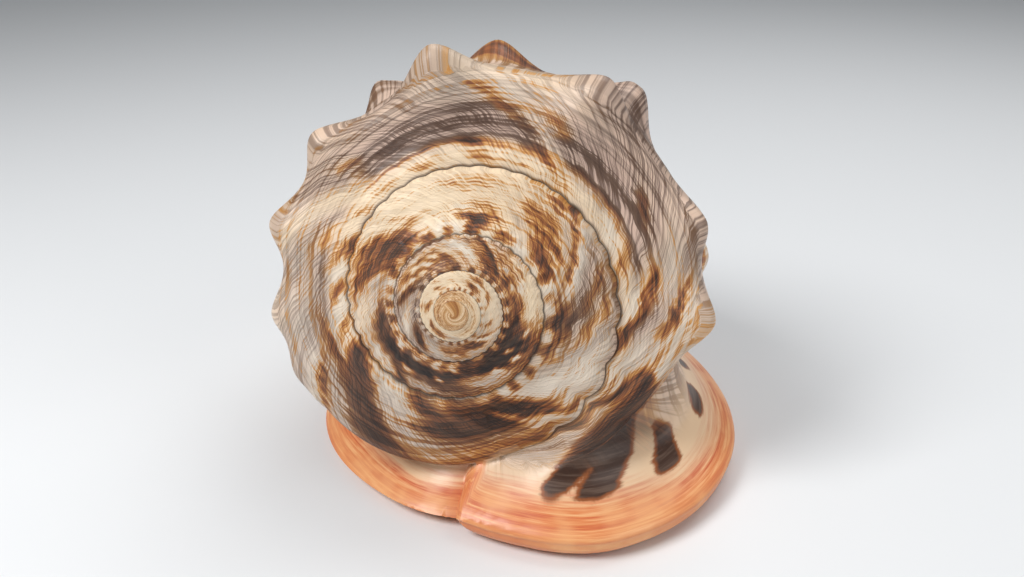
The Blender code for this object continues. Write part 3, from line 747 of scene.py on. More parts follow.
THIRD_RAMP = [
    (1.5, 0.6, 0.24, 0.6, "cream", 1.0), (1.44, 0.75, 0.12, 0.4, "peach", 0.8),
    (1.2, 0.6, 0.1, 0.6, "mauve", 0.75), (1.09, 0.55, 0.06, 0.6, "white", 0.7),
    (1.86, 0.55, 0.18, 0.55, "slate", 0.55), (1.03, 0.4, 0.055, 0.26, "black", 0.9),
    (1.03, 0.88, 0.04, 0.14, "rust", 0.8), (1.075, 0.3, 0.022, 0.28, "white", 0.85),
    (1.115, 0.6, 0.03, 0.35, "white", 0.85), (1.12, 0.18, 0.01, 0.12, "gold", 0.9),
    (1.16, 0.22, 0.022, 0.15, "rust", 0.8), (1.205, 0.25, 0.026, 0.16, "umber", 0.9),
    (1.16, 0.6, 0.014, 0.2, "lilac", 0.6), (1.195, 0.72, 0.014, 0.28, "rust", 0.7),
    (1.215, 0.58, 0.01, 0.3, "slate", 0.7), (1.235, 0.75, 0.012, 0.25, "rust", 0.6),
    (1.255, 0.2, 0.012, 0.16, "white", 0.8), (1.263, 0.6, 0.014, 0.35, "stone", 0.8),
    (1.29, 0.22, 0.022, 0.09, "umber", 1.0), (1.3, 0.42, 0.024, 0.1, "rust", 0.9),
    (1.296, 0.34, 0.018, 0.04, "white", 0.7), (1.294, 0.75, 0.008, 0.24, "white", 0.8),
    (1.322, 0.6, 0.016, 0.16, "rust", 0.7), (1.325, 0.24, 0.016, 0.07, "umber", 0.8),
    (1.345, 0.9, 0.012, 0.07, "rust", 0.7), (1.35, 0.12, 0.014, 0.12, "lilac", 0.7),
    (1.365, 0.4, 0.014, 0.12, "rose", 0.6), (1.39, 0.22, 0.02, 0.16, "gold", 0.8),
    (1.41, 0.36, 0.014, 0.16, "rust", 0.6), (1.432, 0.24, 0.018, 0.09, "black", 0.95),
    (1.455, 0.3, 0.018, 0.05, "umber", 0.7), (1.432, 0.06, 0.01, 0.08, "umber", 0.8),
    (1.455, 0.5, 0.016, 0.08, "gold", 0.8), (1.463, 0.42, 0.014, 0.05, "white", 0.9),
    (1.47, 0.72, 0.008, 0.16, "gold", 0.6), (1.52, 0.7, 0.04, 0.3, "cream", 0.9),
    (1.48, 0.12, 0.02, 0.12, "white", 0.9), (1.52, 0.1, 0.006, 0.08, "rust", 0.6),
    (1.56, 0.2, 0.012, 0.1, "umber", 0.9), (1.59, 0.26, 0.03, 0.09, "umber", 1.0),
    (1.6, 0.46, 0.034, 0.12, "umber", 0.8), (1.56, 0.55, 0.012, 0.16, "gold", 0.7),
    (1.582, 0.62, 0.01, 0.1, "cream", 0.8), (1.625, 0.7, 0.02, 0.1, "rust", 0.85),
    (1.645, 0.88, 0.02, 0.12, "rust", 0.6), (1.575, 0.08, 0.01, 0.07, "white", 0.8),
    (1.625, 0.12, 0.014, 0.12, "umber", 0.9), (1.648, 0.5, 0.034, 0.28, "umber", 0.75),
    (1.68, 0.78, 0.026, 0.16, "rust", 0.8), (1.335, 0.45, 0.022, 0.26, "rust", 0.7),
    (1.67, 0.14, 0.01, 0.12, "white", 0.8), (1.675, 0.45, 0.008, 0.12, "white", 0.8),
    (1.705, 0.55, 0.026, 0.45, "stone", 0.85), (1.74, 0.75, 0.026, 0.28, "cream", 0.8),
    (1.755, 0.38, 0.014, 0.12, "umber", 0.8), (1.83, 0.45, 0.06, 0.14, "black", 0.9),
    (1.93, 0.45, 0.06, 0.12, "black", 0.85), (1.8, 0.16, 0.012, 0.18, "white", 0.9),
    (1.77, 0.12, 0.01, 0.16, "rust", 0.8), (1.848, 0.12, 0.01, 0.12, "white", 0.9),
    (1.825, 0.14, 0.01, 0.14, "umber", 0.9), (1.872, 0.14, 0.008, 0.16, "rust", 0.9),
    (1.9, 0.16, 0.01, 0.16, "white", 0.9), (1.922, 0.14, 0.008, 0.14, "gold", 0.9),
    (1.945, 0.16, 0.01, 0.18, "white", 0.9), (1.968, 0.14, 0.008, 0.13, "rust", 0.9),
    (1.862, 0.62, 0.012, 0.06, "white", 0.9), (1.925, 0.55, 0.008, 0.05, "white", 0.9),
    (1.98, 0.64, 0.012, 0.06, "lilac", 0.9), (1.82, 0.85, 0.026, 0.14, "white", 0.8),
    (1.9, 0.88, 0.024, 0.12, "lilac", 0.8), (1.86, 0.88, 0.01, 0.14, "umber", 0.8)]
SECOND_RAMP = [
    (2.24, 0.7, 0.075, 0.35, "cream", 1.0), (2.57, 0.55, 0.1, 0.45, "rust", 0.75),
    (2.34, 0.45, 0.075, 0.26, "rust", 0.95), (2.12, 0.45, 0.11, 0.3, "black", 0.85),
    (2.03, 0.75, 0.04, 0.22, "lilac", 0.8), (2.06, 0.42, 0.06, 0.06, "black", 0.8),
    (2.15, 0.55, 0.06, 0.06, "black", 0.7), (2.105, 0.45, 0.01, 0.06, "white", 1.0),
    (2.102, 0.72, 0.01, 0.08, "white", 1.0), (2.052, 0.62, 0.012, 0.07, "white", 0.9),
    (2.16, 0.66, 0.01, 0.08, "white", 0.9), (2.18, 0.32, 0.03, 0.05, "umber", 0.7),
    (2.225, 0.75, 0.04, 0.25, "cream", 0.95), (2.275, 0.66, 0.012, 0.14, "white", 0.9),
    (2.272, 0.38, 0.014, 0.06, "white", 1.0), (2.3, 0.8, 0.016, 0.1, "gold", 0.9),
    (2.33, 0.58, 0.012, 0.09, "lilac", 1.0), (2.37, 0.6, 0.026, 0.26, "umber", 0.7),
    (2.39, 0.8, 0.02, 0.1, "rust", 0.9), (2.408, 0.7, 0.012, 0.16, "gold", 0.8),
    (2.45, 0.65, 0.022, 0.42, "white", 1.0), (2.485, 0.6, 0.01, 0.3, "cream", 0.8),
    (2.503, 0.45, 0.012, 0.14, "umber", 0.7), (2.528, 0.6, 0.01, 0.1, "cream", 1.0),
    (2.556, 0.52, 0.01, 0.1, "white", 1.0), (2.585, 0.4, 0.012, 0.06, "cream", 1.0),
    (2.598, 0.7, 0.012, 0.08, "cream", 1.0), (2.625, 0.55, 0.01, 0.1, "white", 1.0),
    (2.655, 0.72, 0.01, 0.08, "cream", 1.0), (2.56, 0.86, 0.07, 0.05, "white", 0.7),
    (2.64, 0.85, 0.02, 0.12, "gold", 0.7), (2.675, 0.6, 0.014, 0.28, "umber", 0.7),
    (2.705, 0.5, 0.02, 0.3, "lilac", 0.9), (2.735, 0.6, 0.008, 0.2, "gold", 0.8),
    (2.765, 0.7, 0.022, 0.26, "white", 0.9), (2.8, 0.5, 0.02, 0.2, "umber", 0.8),
    (2.835, 0.6, 0.024, 0.26, "black", 0.85), (2.89, 0.65, 0.028, 0.3, "lilac", 0.95),
    (2.96, 0.6, 0.036, 0.26, "umber", 0.9), (2.968, 0.72, 0.01, 0.07, "white", 0.9)]
TOP_RAMPS = [
    (3.5, 0.6, 0.42, 0.6, "cream", 1.0), (3.05, 0.5, 0.06, 0.3, "umber", 0.85),
    (3.075, 0.42, 0.012, 0.1, "white", 0.9), (3.03, 0.72, 0.016, 0.1, "lilac", 0.9),
    (3.12, 0.7, 0.02, 0.16, "white", 0.9), (3.16, 0.42, 0.014, 0.2, "rust", 0.7),
    (3.25, 0.35, 0.012, 0.2, "gold", 0.9), (3.283, 0.55, 0.016, 0.16, "rust", 0.9),
    (3.27, 0.38, 0.01, 0.07, "white", 0.9), (3.365, 0.4, 0.034, 0.2, "rust", 1.0),
    (3.365, 0.8, 0.028, 0.18, "rust", 0.85), (3.345, 0.6, 0.012, 0.08, "white", 0.9),
    (3.445, 0.25, 0.008, 0.16, "gold", 0.9), (3.475, 0.55, 0.008, 0.08, "gold", 0.7),
    (3.55, 0.36, 0.024, 0.18, "gold", 1.0), (3.568, 0.52, 0.012, 0.1, "rust", 0.8),
    (3.553, 0.82, 0.016, 0.12, "gold", 0.9), (3.68, 0.42, 0.03, 0.24, "rust", 0.85),
    (3.665, 0.68, 0.01, 0.08, "white", 0.9), (3.69, 0.85, 0.018, 0.12, "gold", 0.8),
    (3.8, 0.5, 0.022, 0.2, "umber", 0.7), (3.88, 0.6, 0.05, 0.24, "umber", 0.7),
    (3.95, 0.7, 0.04, 0.2, "lilac", 0.8), (4.1, 0.55, 0.1, 0.25, "amber", 0.8),
    (4.35, 0.45, 0.16, 0.35, "amber", 0.7), (4.75, 0.6, 0.14, 0.35, "gold", 0.75),
    (4.55, 0.8, 0.06, 0.3, "cream", 0.8)]
STROKE_POWER = 1.4
BASE_BY_TURN = [(0.0, "stone"), (0.35, "mauve"), (0.8, "stone"), (1.0, "mauve"), (1.4, "cream"),
                (1.8, "stone"), (2.1, "rust"), (2.6, "mauve"), (3.0, "stone"), (3.5, "cream"),
                (6.0, "cream")]


def stroke_weight(t, s, stroke):
    """How strongly a stroke covers each place, from 0 to its own strength."""
    middle, across, length, width, _, strength = stroke
    lean = np.where(s < 1.0, GROWTH_SLANT, 0.0) * (s - across)
    off = np.hypot((t - middle - lean) / length, (s - across) / width)
    return strength * np.exp(-(0.85 * off) ** (2.0 * STROKE_POWER))


def lay_paint(amounts, weight, name):
    """Pull the three amounts towards a paint."""
    amounts += (np.array(PAINTS[name]) - amounts) * weight[:, None]


# %% [markdown]
# ## Bars by the sutures, and the side
#
# Just outside each suture the colour comes in short bars, brown and white in turn, about twenty to
# a turn. The side, mostly hidden here, follows the habit of the kind: pale knobs, wavy brown clouds
# between their rows, and a darker stretch every quarter turn.

# %% Bars, clouds and knob tips
BAR_END = 0.24              # place across the whorl where the bars end
CLOUD_ROWS = 0.19           # distance between rows of clouds, down the side
SIDE_TURNS = [0.11, 0.26, 0.43, 0.57, 0.70, 0.85]     # the darker stretches, in turns
FIRST_WHORLS = 4.3          # turns before the lip, and all amber beyond
# (degrees, place along the axis, reach in degrees, reach along, paint, strength)
TIPS = [(188, 26, 8, 7, "cream", 0.8), (161, 26, 7, 7, "gold", 0.8), (134, 27, 8, 7, "gold", 0.7),
        (134, 22, 12, 6, "rose", 0.6), (98, 27, 8, 8, "white", 0.7), (57, 27, 8, 8, "mauve", 0.6),
        (19, 26, 8, 8, "rose", 0.7), (-6, 26, 7, 7, "gold", 0.7), (85, 50, 9, 8, "gold", 0.6),
        (44, 50, 9, 8, "mauve", 0.6), (6, 50, 8, 8, "white", 0.7)]


def bars(t, s):
    """Where the bars beside a suture are."""
    return ease((BAR_END - s) / 0.10) * ease((t - 0.95) / 0.1) * bars_fade(t)


def clouds(t, s):
    """Wavy brown clouds of the side, from 0 to 1."""
    total = np.zeros(np.shape(t))
    for n, middle in enumerate(SIDE_TURNS):
        lean = 0.03 * np.sin(9.0 * s + n)
        width, depth = 0.035 + 0.012 * math.sin(3.1 * n), 0.7 + 0.3 * math.cos(2.3 * n)
        total += bump(t, middle + lean, width) * depth
    rows = 0.5 + 0.5 * np.cos(2 * np.pi * (s - 1.0) / CLOUD_ROWS + 1.2 * np.sin(2 * np.pi * 5.0 * t))
    return np.clip(total * (0.35 + 0.65 * rows) + 0.25 * rows, 0.0, 1.0)


def amounts_at(t, s, angle, h, bands):
    """Pigment, mauve and grey amounts of the whorls, for every corner."""
    turns = [p[0] for p in BASE_BY_TURN]
    amounts = np.stack([np.interp(t, turns, [PAINTS[p[1]][k] for p in BASE_BY_TURN])
                        for k in range(3)], 1)
    on_side = ease((s - 1.0) / 0.04) * ease((1.05 - t) / 0.04)
    lay_paint(amounts, 0.6 * on_side, "rose")
    lay_paint(amounts, 0.9 * on_side * clouds(t, s), "umber")
    for stroke in LAST_RAMP + THIRD_RAMP + SECOND_RAMP + TOP_RAMPS:
        near = np.abs(t - stroke[0]) < 3.0 * stroke[2] + GROWTH_SLANT
        part = amounts[near]
        fade = 1.0 - ease((s[near] - 1.0) / 0.12)
        lay_paint(part, stroke_weight(t[near], s[near], stroke) * fade, stroke[4])
        amounts[near] = part
    wave, where = bar_wave(t), bars(t, s)
    uneven = 0.62 + 0.25 * np.sin(13.0 * t + 0.7) + 0.13 * np.sin(41.0 * t)
    lay_paint(amounts, 0.75 * where * uneven * wave ** 1.2, "umber")
    lay_paint(amounts, 0.75 * where * (1.2 - uneven) * ease((0.7 - wave) / 0.6), "white")
    # Painted highlight and shade of each scar step: a white line on its raised newer side and a dark
    # line at its foot, stronger for taller steps.
    for age, inner, outer, height in SCARS:
        newer = age - growth(t, s)
        along = ease((s - inner) / 0.12) * ease((outer - s) / 0.05) * min(1.0, 0.4 + height)
        lay_paint(amounts, 0.8 * along * bump(newer, 0.008, 0.008), "white")
        lay_paint(amounts, 0.7 * along * bump(newer, -0.008, 0.008), "umber")
    last = ease((1.02 - t) / 0.02)
    lay_paint(amounts, 0.95 * bands * last, "umber")
    for place, along, reach, length, name, strength in TIPS:
        off = (angle - place + 180.0) % 360.0 - 180.0
        weight = np.exp(-(off / reach) ** 2 - ((h - along) / length) ** 2)
        lay_paint(amounts, strength * weight * last * ease((s - 0.6) / 0.4), name)
    lay_paint(amounts, 0.9 * ease((t - FIRST_WHORLS) / 0.15), "amber")
    return amounts


# %% [markdown]
# ## Colours of the mouth
#
# The rim and its flange are a later glaze over the whorl: orange where it is thickest, cream
# further in, with broad dark bars that run out across the outer lip. The layers below tell the
# shader where that glaze is, how far in from the rim a corner lies, and which way it faces from
# the hub, so streaks can run along the rim.

# %% Layers of the mouth
MOUTH_BLEND = 2.5
RIM_SCALE = 30.0
# Bands: strength, then places and half widths along each, in the lying frame and millimetres.
LIP_BANDS = [
    (1.0, [(24.0, 3.0, 13.5, 2.6), (31.0, 8.0, 20.0, 3.6), (38.0, 12.5, 26.5, 4.6),
           (48.0, 17.8, 36.0, 4.5), (50.0, 18.5, 42.0, 2.5)]),
    (1.0, [(34.0, 0.5, 12.0, 3.6), (38.8, 6.5, 17.0, 4.6), (43.8, 13.0, 24.0, 4.9),
           (48.5, 18.0, 33.0, 4.0)]),
    (0.95, [(55.5, 9.0, 11.5, 2.4), (57.5, 13.0, 12.5, 3.8), (58.5, 19.0, 15.5, 5.8),
            (57.0, 25.0, 20.0, 4.6), (55.0, 21.0, 30.0, 2.6), (54.0, 19.5, 38.0, 1.8)]),
    (0.8, [(66.5, 50.0, 13.0, 5.5), (66.0, 57.0, 16.0, 4.0)]),
    (0.85, [(68.5, 78.0, 10.0, 4.5), (60.0, 76.0, 22.0, 4.0)]),
    (0.8, [(60.0, 104.0, 10.0, 4.5), (52.0, 100.0, 22.0, 4.0)]),
    (0.7, [(46.0, 126.0, 10.0, 4.0), (40.0, 121.0, 20.0, 3.0)])]


def band_weight(points, band):
    """Cover of a band: 1 along its line of places, falling off over its half width."""
    strength, places = band
    places = np.array(places)
    cover = np.zeros(len(points))
    for a, b in zip(places[:-1], places[1:]):
        run = b[:3] - a[:3]
        share = np.clip((points - a[:3]) @ run / (run @ run), 0.0, 1.0)
        away = np.linalg.norm(points - a[:3] - share[:, None] * run, axis=1)
        width = a[3] + (b[3] - a[3]) * share
        cover = np.maximum(cover, strength * np.exp(-(away / width) ** 3.0))
    return cover


def mouth_layers(points):
    """Share of glaze, inward distance over RIM_SCALE and bearing; bars, tooth, nearness to the slot."""
    off = points - HUB
    d = unit(off)
    phi = np.degrees(np.arctan2(off[:, 1], off[:, 0]))
    reach, to_lip = rim(phi, points[:, 2])
    inward = reach - np.hypot(off[:, 0], off[:, 1])
    glaze = ease((face(d) - body(d, False)) / MOUTH_BLEND + 0.35)
    glaze = glaze * (1.0 - 0.85 * ease((inward - 12.0) / 8.0) * ease((points[:, 2] - 5.0) / 4.0))
    glaze = np.maximum(glaze, ease((7.0 - points[:, 2]) / 3.0))
    dark = np.max([band_weight(points, band) for band in LIP_BANDS], axis=0)
    dark = dark * to_lip * ease((inward - 8.0) / 3.0)
    aside = points[:, 0] - through(points[:, 1], SLOT)
    gap = np.maximum(np.abs(aside) - through(points[:, 1], SLOT, 2), 0.0)
    below = ease((12.0 - points[:, 2]) / 6.0) * ease((points[:, 1] - TEETH_START + 8.0) / 8.0)
    below = below * ease((TEETH_END + 12.0 - points[:, 1]) / 10.0)
    return (np.stack([glaze, inward / RIM_SCALE, phi / 360.0], 1),
            np.stack([dark, teeth(points[:, 1], aside), np.exp(-gap / 9.0) * below], 1))


# %% [markdown]
# ## From numbers to a mesh
#
# The corners and faces go to Blender in one call, which is far quicker than adding faces one at a
# time. Growth places, amounts of paint and the mouth's masks are kept as attributes of the faces'
# corners. All faces are made triangles before the cuts, so that each one is flat.

# %% Make the mesh
ORIGIN = np.array([12.6, 76.2, 0.0])    # middle of the foot in the lying frame


def corner_layer(mesh, name, values):
    """Store three numbers for each corner of each face."""
    layer = mesh.attributes.new(name, 'FLOAT_VECTOR', 'CORNER')
    layer.data.foreach_set("vector", np.ascontiguousarray(values, np.float32).ravel())


def make_object(name, points, faces, layers):
    """Mesh object in metres, all triangles, with its layers by corner."""
    mesh = bpy.data.meshes.new(name)
    mesh.from_pydata([tuple(p) for p in (points - ORIGIN) * MM], [], faces)
    for layer, values in layers.items():
        corner_layer(mesh, layer, values)
    bm = bmesh.new()
    bm.from_mesh(mesh)
    bmesh.ops.triangulate(bm, faces=[f for f in bm.faces if len(f.verts) > 3])
    bmesh.ops.recalc_face_normals(bm, faces=bm.faces)
    bm.to_mesh(mesh)
    bm.free()
    obj = bpy.data.objects.new(name, mesh)
    bpy.context.collection.objects.link(obj)
    return obj


points, faces, maps = outside()
corners = np.concatenate([np.array(f) for f in faces])
x, h, z = axis_place(points)
glaze_layer, tooth_layer = mouth_layers(points)
lower = (maps[:, 0] < 1.02)[:, None]
glaze_layer = glaze_layer[corners] * np.where(lower, 1.0, [0.0, 1.0, 1.0])
bands = np.max([band_weight(points, band) for band in LIP_BANDS], axis=0)[corners]
paint = amounts_at(maps[:, 0], maps[:, 1], np.degrees(np.arctan2(z, x))[corners], h[corners], bands)
shell = make_object("shell", points, faces, {
    "growth": np.column_stack([maps, np.zeros(len(maps))]), "paint": paint,
    "glaze": glaze_layer, "tooth": tooth_layer[corners]})
print("shell", len(points), "corners", len(shell.data.polygons), "triangles")

# %% [markdown]
# ## Mouth and hollow
#
# The last whorl is hollow down to the core. The hollow and the slot are cut out with two closed
# shapes, a Boolean each, because the wall's thickness then comes from two clear outlines. The
# slot's walls follow the teeth, so the teeth show from below and inside.

# %% Cutting shapes
HOLLOW = [(-80, 37.0, 1.0), (-45, 49.0, 1.0), (0, 56.5, 1.0), (50, 57.0, 1.0), (95, 54.0, 1.0),
          (140, 46.0, 0.95), (180, 43.0, 0.85), (215, 42.0, 0.6), (240, 36.0, 0.3)]
HOLLOW_MIDDLE = 84.0
HOLLOW_HALF = 54.0
HOLLOW_SECTION = 24
HOLLOW_STATIONS = 40
HOLLOW_ROUND = 0.8
COLUMELLA = 11.0
COLUMELLA_TAPER = 0.35
SLOT_BOTTOM = -6.0
SLOT_STATIONS = 260
SLOT_ARCH = 9
TOOTH_DEPTH = 1.3
SHARP_ANGLE = 60.0          # an edge that bends more than this many degrees is drawn sharp


def tube(rings):
    """Closed tube through rings of the same number of points."""
    count = len(rings[0])
    whole = len(rings) * count
    faces = [(a + b, a + (b + 1) % count, a + count + (b + 1) % count, a + count + b)
             for a in range(0, whole - count, count) for b in range(count)]
    ends = [tuple(range(count)), tuple(range(whole - count, whole))]
    return np.concatenate(rings), faces + ends


def slot_cutter():
    """The slot, with straight walls that follow the teeth below and an arch above."""
    rings = []
    for y in np.linspace(SLOT[0][0], SLOT[-1][0], SLOT_STATIONS):
        middle, half, top = (float(through(y, SLOT, c)) for c in (1, 2, 3))
        left = middle - half + TOOTH_DEPTH * float(teeth(y, np.array(-1.0)))
        right = middle + half - TOOTH_DEPTH * float(teeth(y, np.array(1.0)))
        low, high = min(6.0, 0.5 * top), min(9.0, 0.7 * top)
        spring = max(high + 0.2, top - half)
        arch = [(middle + half * math.cos(a), y, spring + (top - spring) * math.sin(a))
                for a in np.linspace(0.0, math.pi, SLOT_ARCH)]
        rings.append(np.array([(left, y, SLOT_BOTTOM), (right, y, SLOT_BOTTOM), (right, y, low),
                               (middle + half, y, high)] + arch
                              + [(middle - half, y, high), (left, y, low)]))
    return tube(rings)


def hollow_cutter():
    """The hollow of the last whorl, from the core to the wall."""
    rings = []
    beta = 2 * math.pi * np.arange(HOLLOW_SECTION) / HOLLOW_SECTION
    along = np.sign(np.cos(beta)) * np.abs(np.cos(beta)) ** HOLLOW_ROUND
    out = np.sign(np.sin(beta)) * np.abs(np.sin(beta)) ** HOLLOW_ROUND
    for angle in np.linspace(HOLLOW[0][0], HOLLOW[-1][0], HOLLOW_STATIONS):
        outer, size = (float(through(angle, HOLLOW, c)) for c in (1, 2))
        h = HOLLOW_MIDDLE + HOLLOW_HALF * size * along
        u = (h - SHOULDER_HEIGHT) / (LENGTH - SHOULDER_HEIGHT)
        r_out = outer * through(u, SIDE)
        r_in = COLUMELLA * (1.0 - COLUMELLA_TAPER * u)
        r = (r_out + r_in) / 2 + (r_out - r_in) / 2 * size * out
        rings.append(around((angle - LIP_ANGLE) / 360.0, r, h))
    return tube(rings)


def cut(obj, name, shape):
    """Take a closed shape out of an object and throw the shape away."""
    points, faces = shape
    count = sum(len(f) for f in faces)
    layers = {"growth": [0.0, 0.0, 1.0], "paint": [0.05, 0.0, 0.1], "glaze": [1.0, 1.0, 0.0],
              "tooth": [0.0, 0.0, 1.0]}
    cutter = make_object(name, points, faces, {k: np.tile(v, (count, 1)) for k, v in layers.items()})
    modifier = obj.modifiers.new(name, 'BOOLEAN')
    modifier.operation = 'DIFFERENCE'
    modifier.solver = 'EXACT'
    modifier.object = cutter
    bpy.context.view_layer.update()
    mesh = bpy.data.meshes.new_from_object(obj.evaluated_get(bpy.context.evaluated_depsgraph_get()))
    obj.modifiers.clear()
    obj.data = mesh
    bpy.data.objects.remove(cutter)


cut(shell, "hollow_cutter", hollow_cutter())
cut(shell, "slot_cutter", slot_cutter())
shell.data.shade_smooth()
shell.data.set_sharp_from_angle(angle=math.radians(SHARP_ANGLE))
print("cut shell", sum(len(p.vertices) - 2 for p in shell.data.polygons), "triangles")

# %% [markdown]
# ## Shader groups
#
# The surface is one material with three node groups. The first makes growth lines, spiral threads
# and blotches: noise stretched along the two growth directions. The second turns amounts of pigment
# into the colours that shell pigment shows as it thickens: bare, gold, rust, umber, black. The third
# is the mouth's glaze, with its own streaks along the rim. A few short methods keep the wiring
# readable: each takes outputs or plain numbers and gives back an output.

# %% Short ways to add nodes
FLOAT = 'NodeSocketFloat'
COLOR = 'NodeSocketColor'


class Nodes:
    """Short ways to add nodes to one tree. A value is an output, a number or a colour."""

    def __init__(self, tree):
        self.tree = tree

    def node(self, kind, **settings):
        made = self.tree.nodes.new(kind)
        for label, value in settings.items():
            setattr(made, label, value)
        return made

    def wire(self, values, sockets):
        """Give values to sockets in order: an output is linked, anything else is set."""
        for value, socket in zip(values, sockets):
            if isinstance(value, bpy.types.NodeSocket):
                self.tree.links.new(value, socket)
            else:
                socket.default_value = value

    def math(self, operation, *values):
        made = self.node('ShaderNodeMath', operation=operation)
        self.wire(values, made.inputs)
        return made.outputs[0]

    def plus(self, first, *others):
        for other in others:
            first = self.math('ADD', first, other)
        return first

    def times(self, first, *others):
        for other in others:
            first = self.math('MULTIPLY', first, other)
        return first

    def about(self, value, middle, gain):
        """How far a value is from its middle, times a gain."""
        return self.times(self.math('SUBTRACT', value, middle), gain)

    def smooth(self, value, low, high):
        """Smooth step of a value, from 0 at low to 1 at high."""
        made = self.node('ShaderNodeMapRange', interpolation_type='SMOOTHSTEP')
        self.wire((value, low, high), made.inputs)
        return made.outputs["Result"]

    def mix(self, share, first, second, kind='RGBA'):
        made = self.node('ShaderNodeMix', data_type=kind)
        start, out = (6, 2) if kind == 'RGBA' else (2, 0)
        self.wire((share, first, second), (made.inputs[0], made.inputs[start], made.inputs[start + 1]))
        return made.outputs[out]

    def noise(self, place, stretch, detail, roughness=0.5):
        """Noise at a place of three values, each multiplied by its own stretch."""
        vector = self.node('ShaderNodeCombineXYZ')
        self.wire(place, vector.inputs)
        scaled = self.node('ShaderNodeVectorMath', operation='MULTIPLY')
        self.wire((vector.outputs[0], stretch), scaled.inputs)
        made = self.node('ShaderNodeTexNoise')
        self.wire((scaled.outputs[0], 1.0, detail, roughness),
                  [made.inputs[label] for label in ("Vector", "Scale", "Detail", "Roughness")])
        return made.outputs["Fac"]

    def ramp(self, value, stops):
        made = self.node('ShaderNodeValToRGB')
        self.wire((value,), made.inputs)
        points = made.color_ramp.elements
        while len(points) < len(stops):
            points.new(0.5)
        for point, (place, color) in zip(points, stops):
            point.position = place
            point.color = color
        return made.outputs["Color"]


def new_group(name, inputs, outputs):
    """Node group with number inputs and named outputs: its nodes, what is given, and its results."""
    tree = bpy.data.node_groups.new(name, 'ShaderNodeTree')
    for label, value in inputs.items():
        socket = tree.interface.new_socket(label, in_out='INPUT', socket_type=FLOAT)
        socket.default_value = value
    for label, kind in outputs.items():
        tree.interface.new_socket(label, in_out='OUTPUT', socket_type=kind)
    given = tree.nodes.new('NodeGroupInput').outputs
    return Nodes(tree), given, tree.nodes.new('NodeGroupOutput').inputs


# %% Growth lines, spiral threads and blotches
def lines_group():
    """Fine lines in growth places: old edges, spiral threads, and soft blotches."""
    g, given, result = new_group(
        "shell_lines", {"Turns": 0.0, "Across": 0.0, "Edges": 120.0, "Threads": 26.0},
        {"Edge Lines": FLOAT, "Edge Bands": FLOAT, "Spiral Threads": FLOAT, "Blotches": FLOAT})
    turns, across = given["Turns"], given["Across"]
    slant = g.times(g.math('SUBTRACT', 1.0, g.math('MINIMUM', across, 1.0)), GROWTH_SLANT)
    sway = g.math('SUBTRACT', g.noise((turns, across, 0.0), (9.0, 3.0, 1.0), 2.0), 0.5)
    age = g.plus(turns, slant, g.times(sway, 0.03))
    count = g.times(age, given["Edges"])
    thread = g.times(g.plus(across, g.times(sway, 0.05)), given["Threads"])
    fine = g.noise((count, across, 3.0), (3.0, 1.6, 1.0), 3.0, 0.6)
    wide = g.noise((count, across, 7.0), (0.4, 1.2, 1.0), 2.0)
    spiral = g.noise((turns, thread, 5.0), (5.0, 1.0, 1.0), 3.0, 0.6)
    blotches = g.noise((age, across, 1.0), (34.0, 7.0, 1.0), 3.0, 0.6)
    edge_lines, edge_bands = g.smooth(fine, 0.43, 0.62), g.smooth(wide, 0.38, 0.62)
    g.wire((edge_lines, edge_bands, g.smooth(spiral, 0.43, 0.61), blotches), result)
    return g.tree


# %% [markdown]
# ## Colour of the painted whorls
#
# The ground is cream, mauve or grey, and the finest lines show on it. Pigment lies over it and goes
# from gold to black with its amount. Noise is added to the amount and not to the colour, so the
# edge of a blotch breaks up along the growth lines, as it does on a shell.

# %% Pigment, ground and suture
GOLD = (0.68, 0.33, 0.08, 1.0)
RUST = (0.30, 0.088, 0.024, 1.0)
UMBER = (0.052, 0.022, 0.012, 1.0)
BLACK = (0.011, 0.008, 0.008, 1.0)
DUSK = (0.14, 0.08, 0.055, 1.0)
CREAM = (0.93, 0.72, 0.48, 1.0)
MAUVE = (0.62, 0.43, 0.34, 1.0)
WHITE = (0.84, 0.79, 0.73, 1.0)
GREY = (0.27, 0.22, 0.20, 1.0)
BAND = (0.66, 0.47, 0.38, 1.0)
BAND_ON_PAINT = (0.42, 0.27, 0.18, 1.0)
EDGE_LINE = (0.10, 0.055, 0.04, 1.0)
THREAD = (0.07, 0.04, 0.03, 1.0)
# painted shade: the dark colour laid along the suture groove
SUTURE_SHADE = (0.03, 0.018, 0.012, 1.0)
# (mask, its middle, how far it moves the amount of pigment)
PIGMENT_STIR = [("Blotches", 0.48, 0.75), ("Spiral Threads", 0.42, 0.22), ("Edge Lines", 0.42, 0.16)]


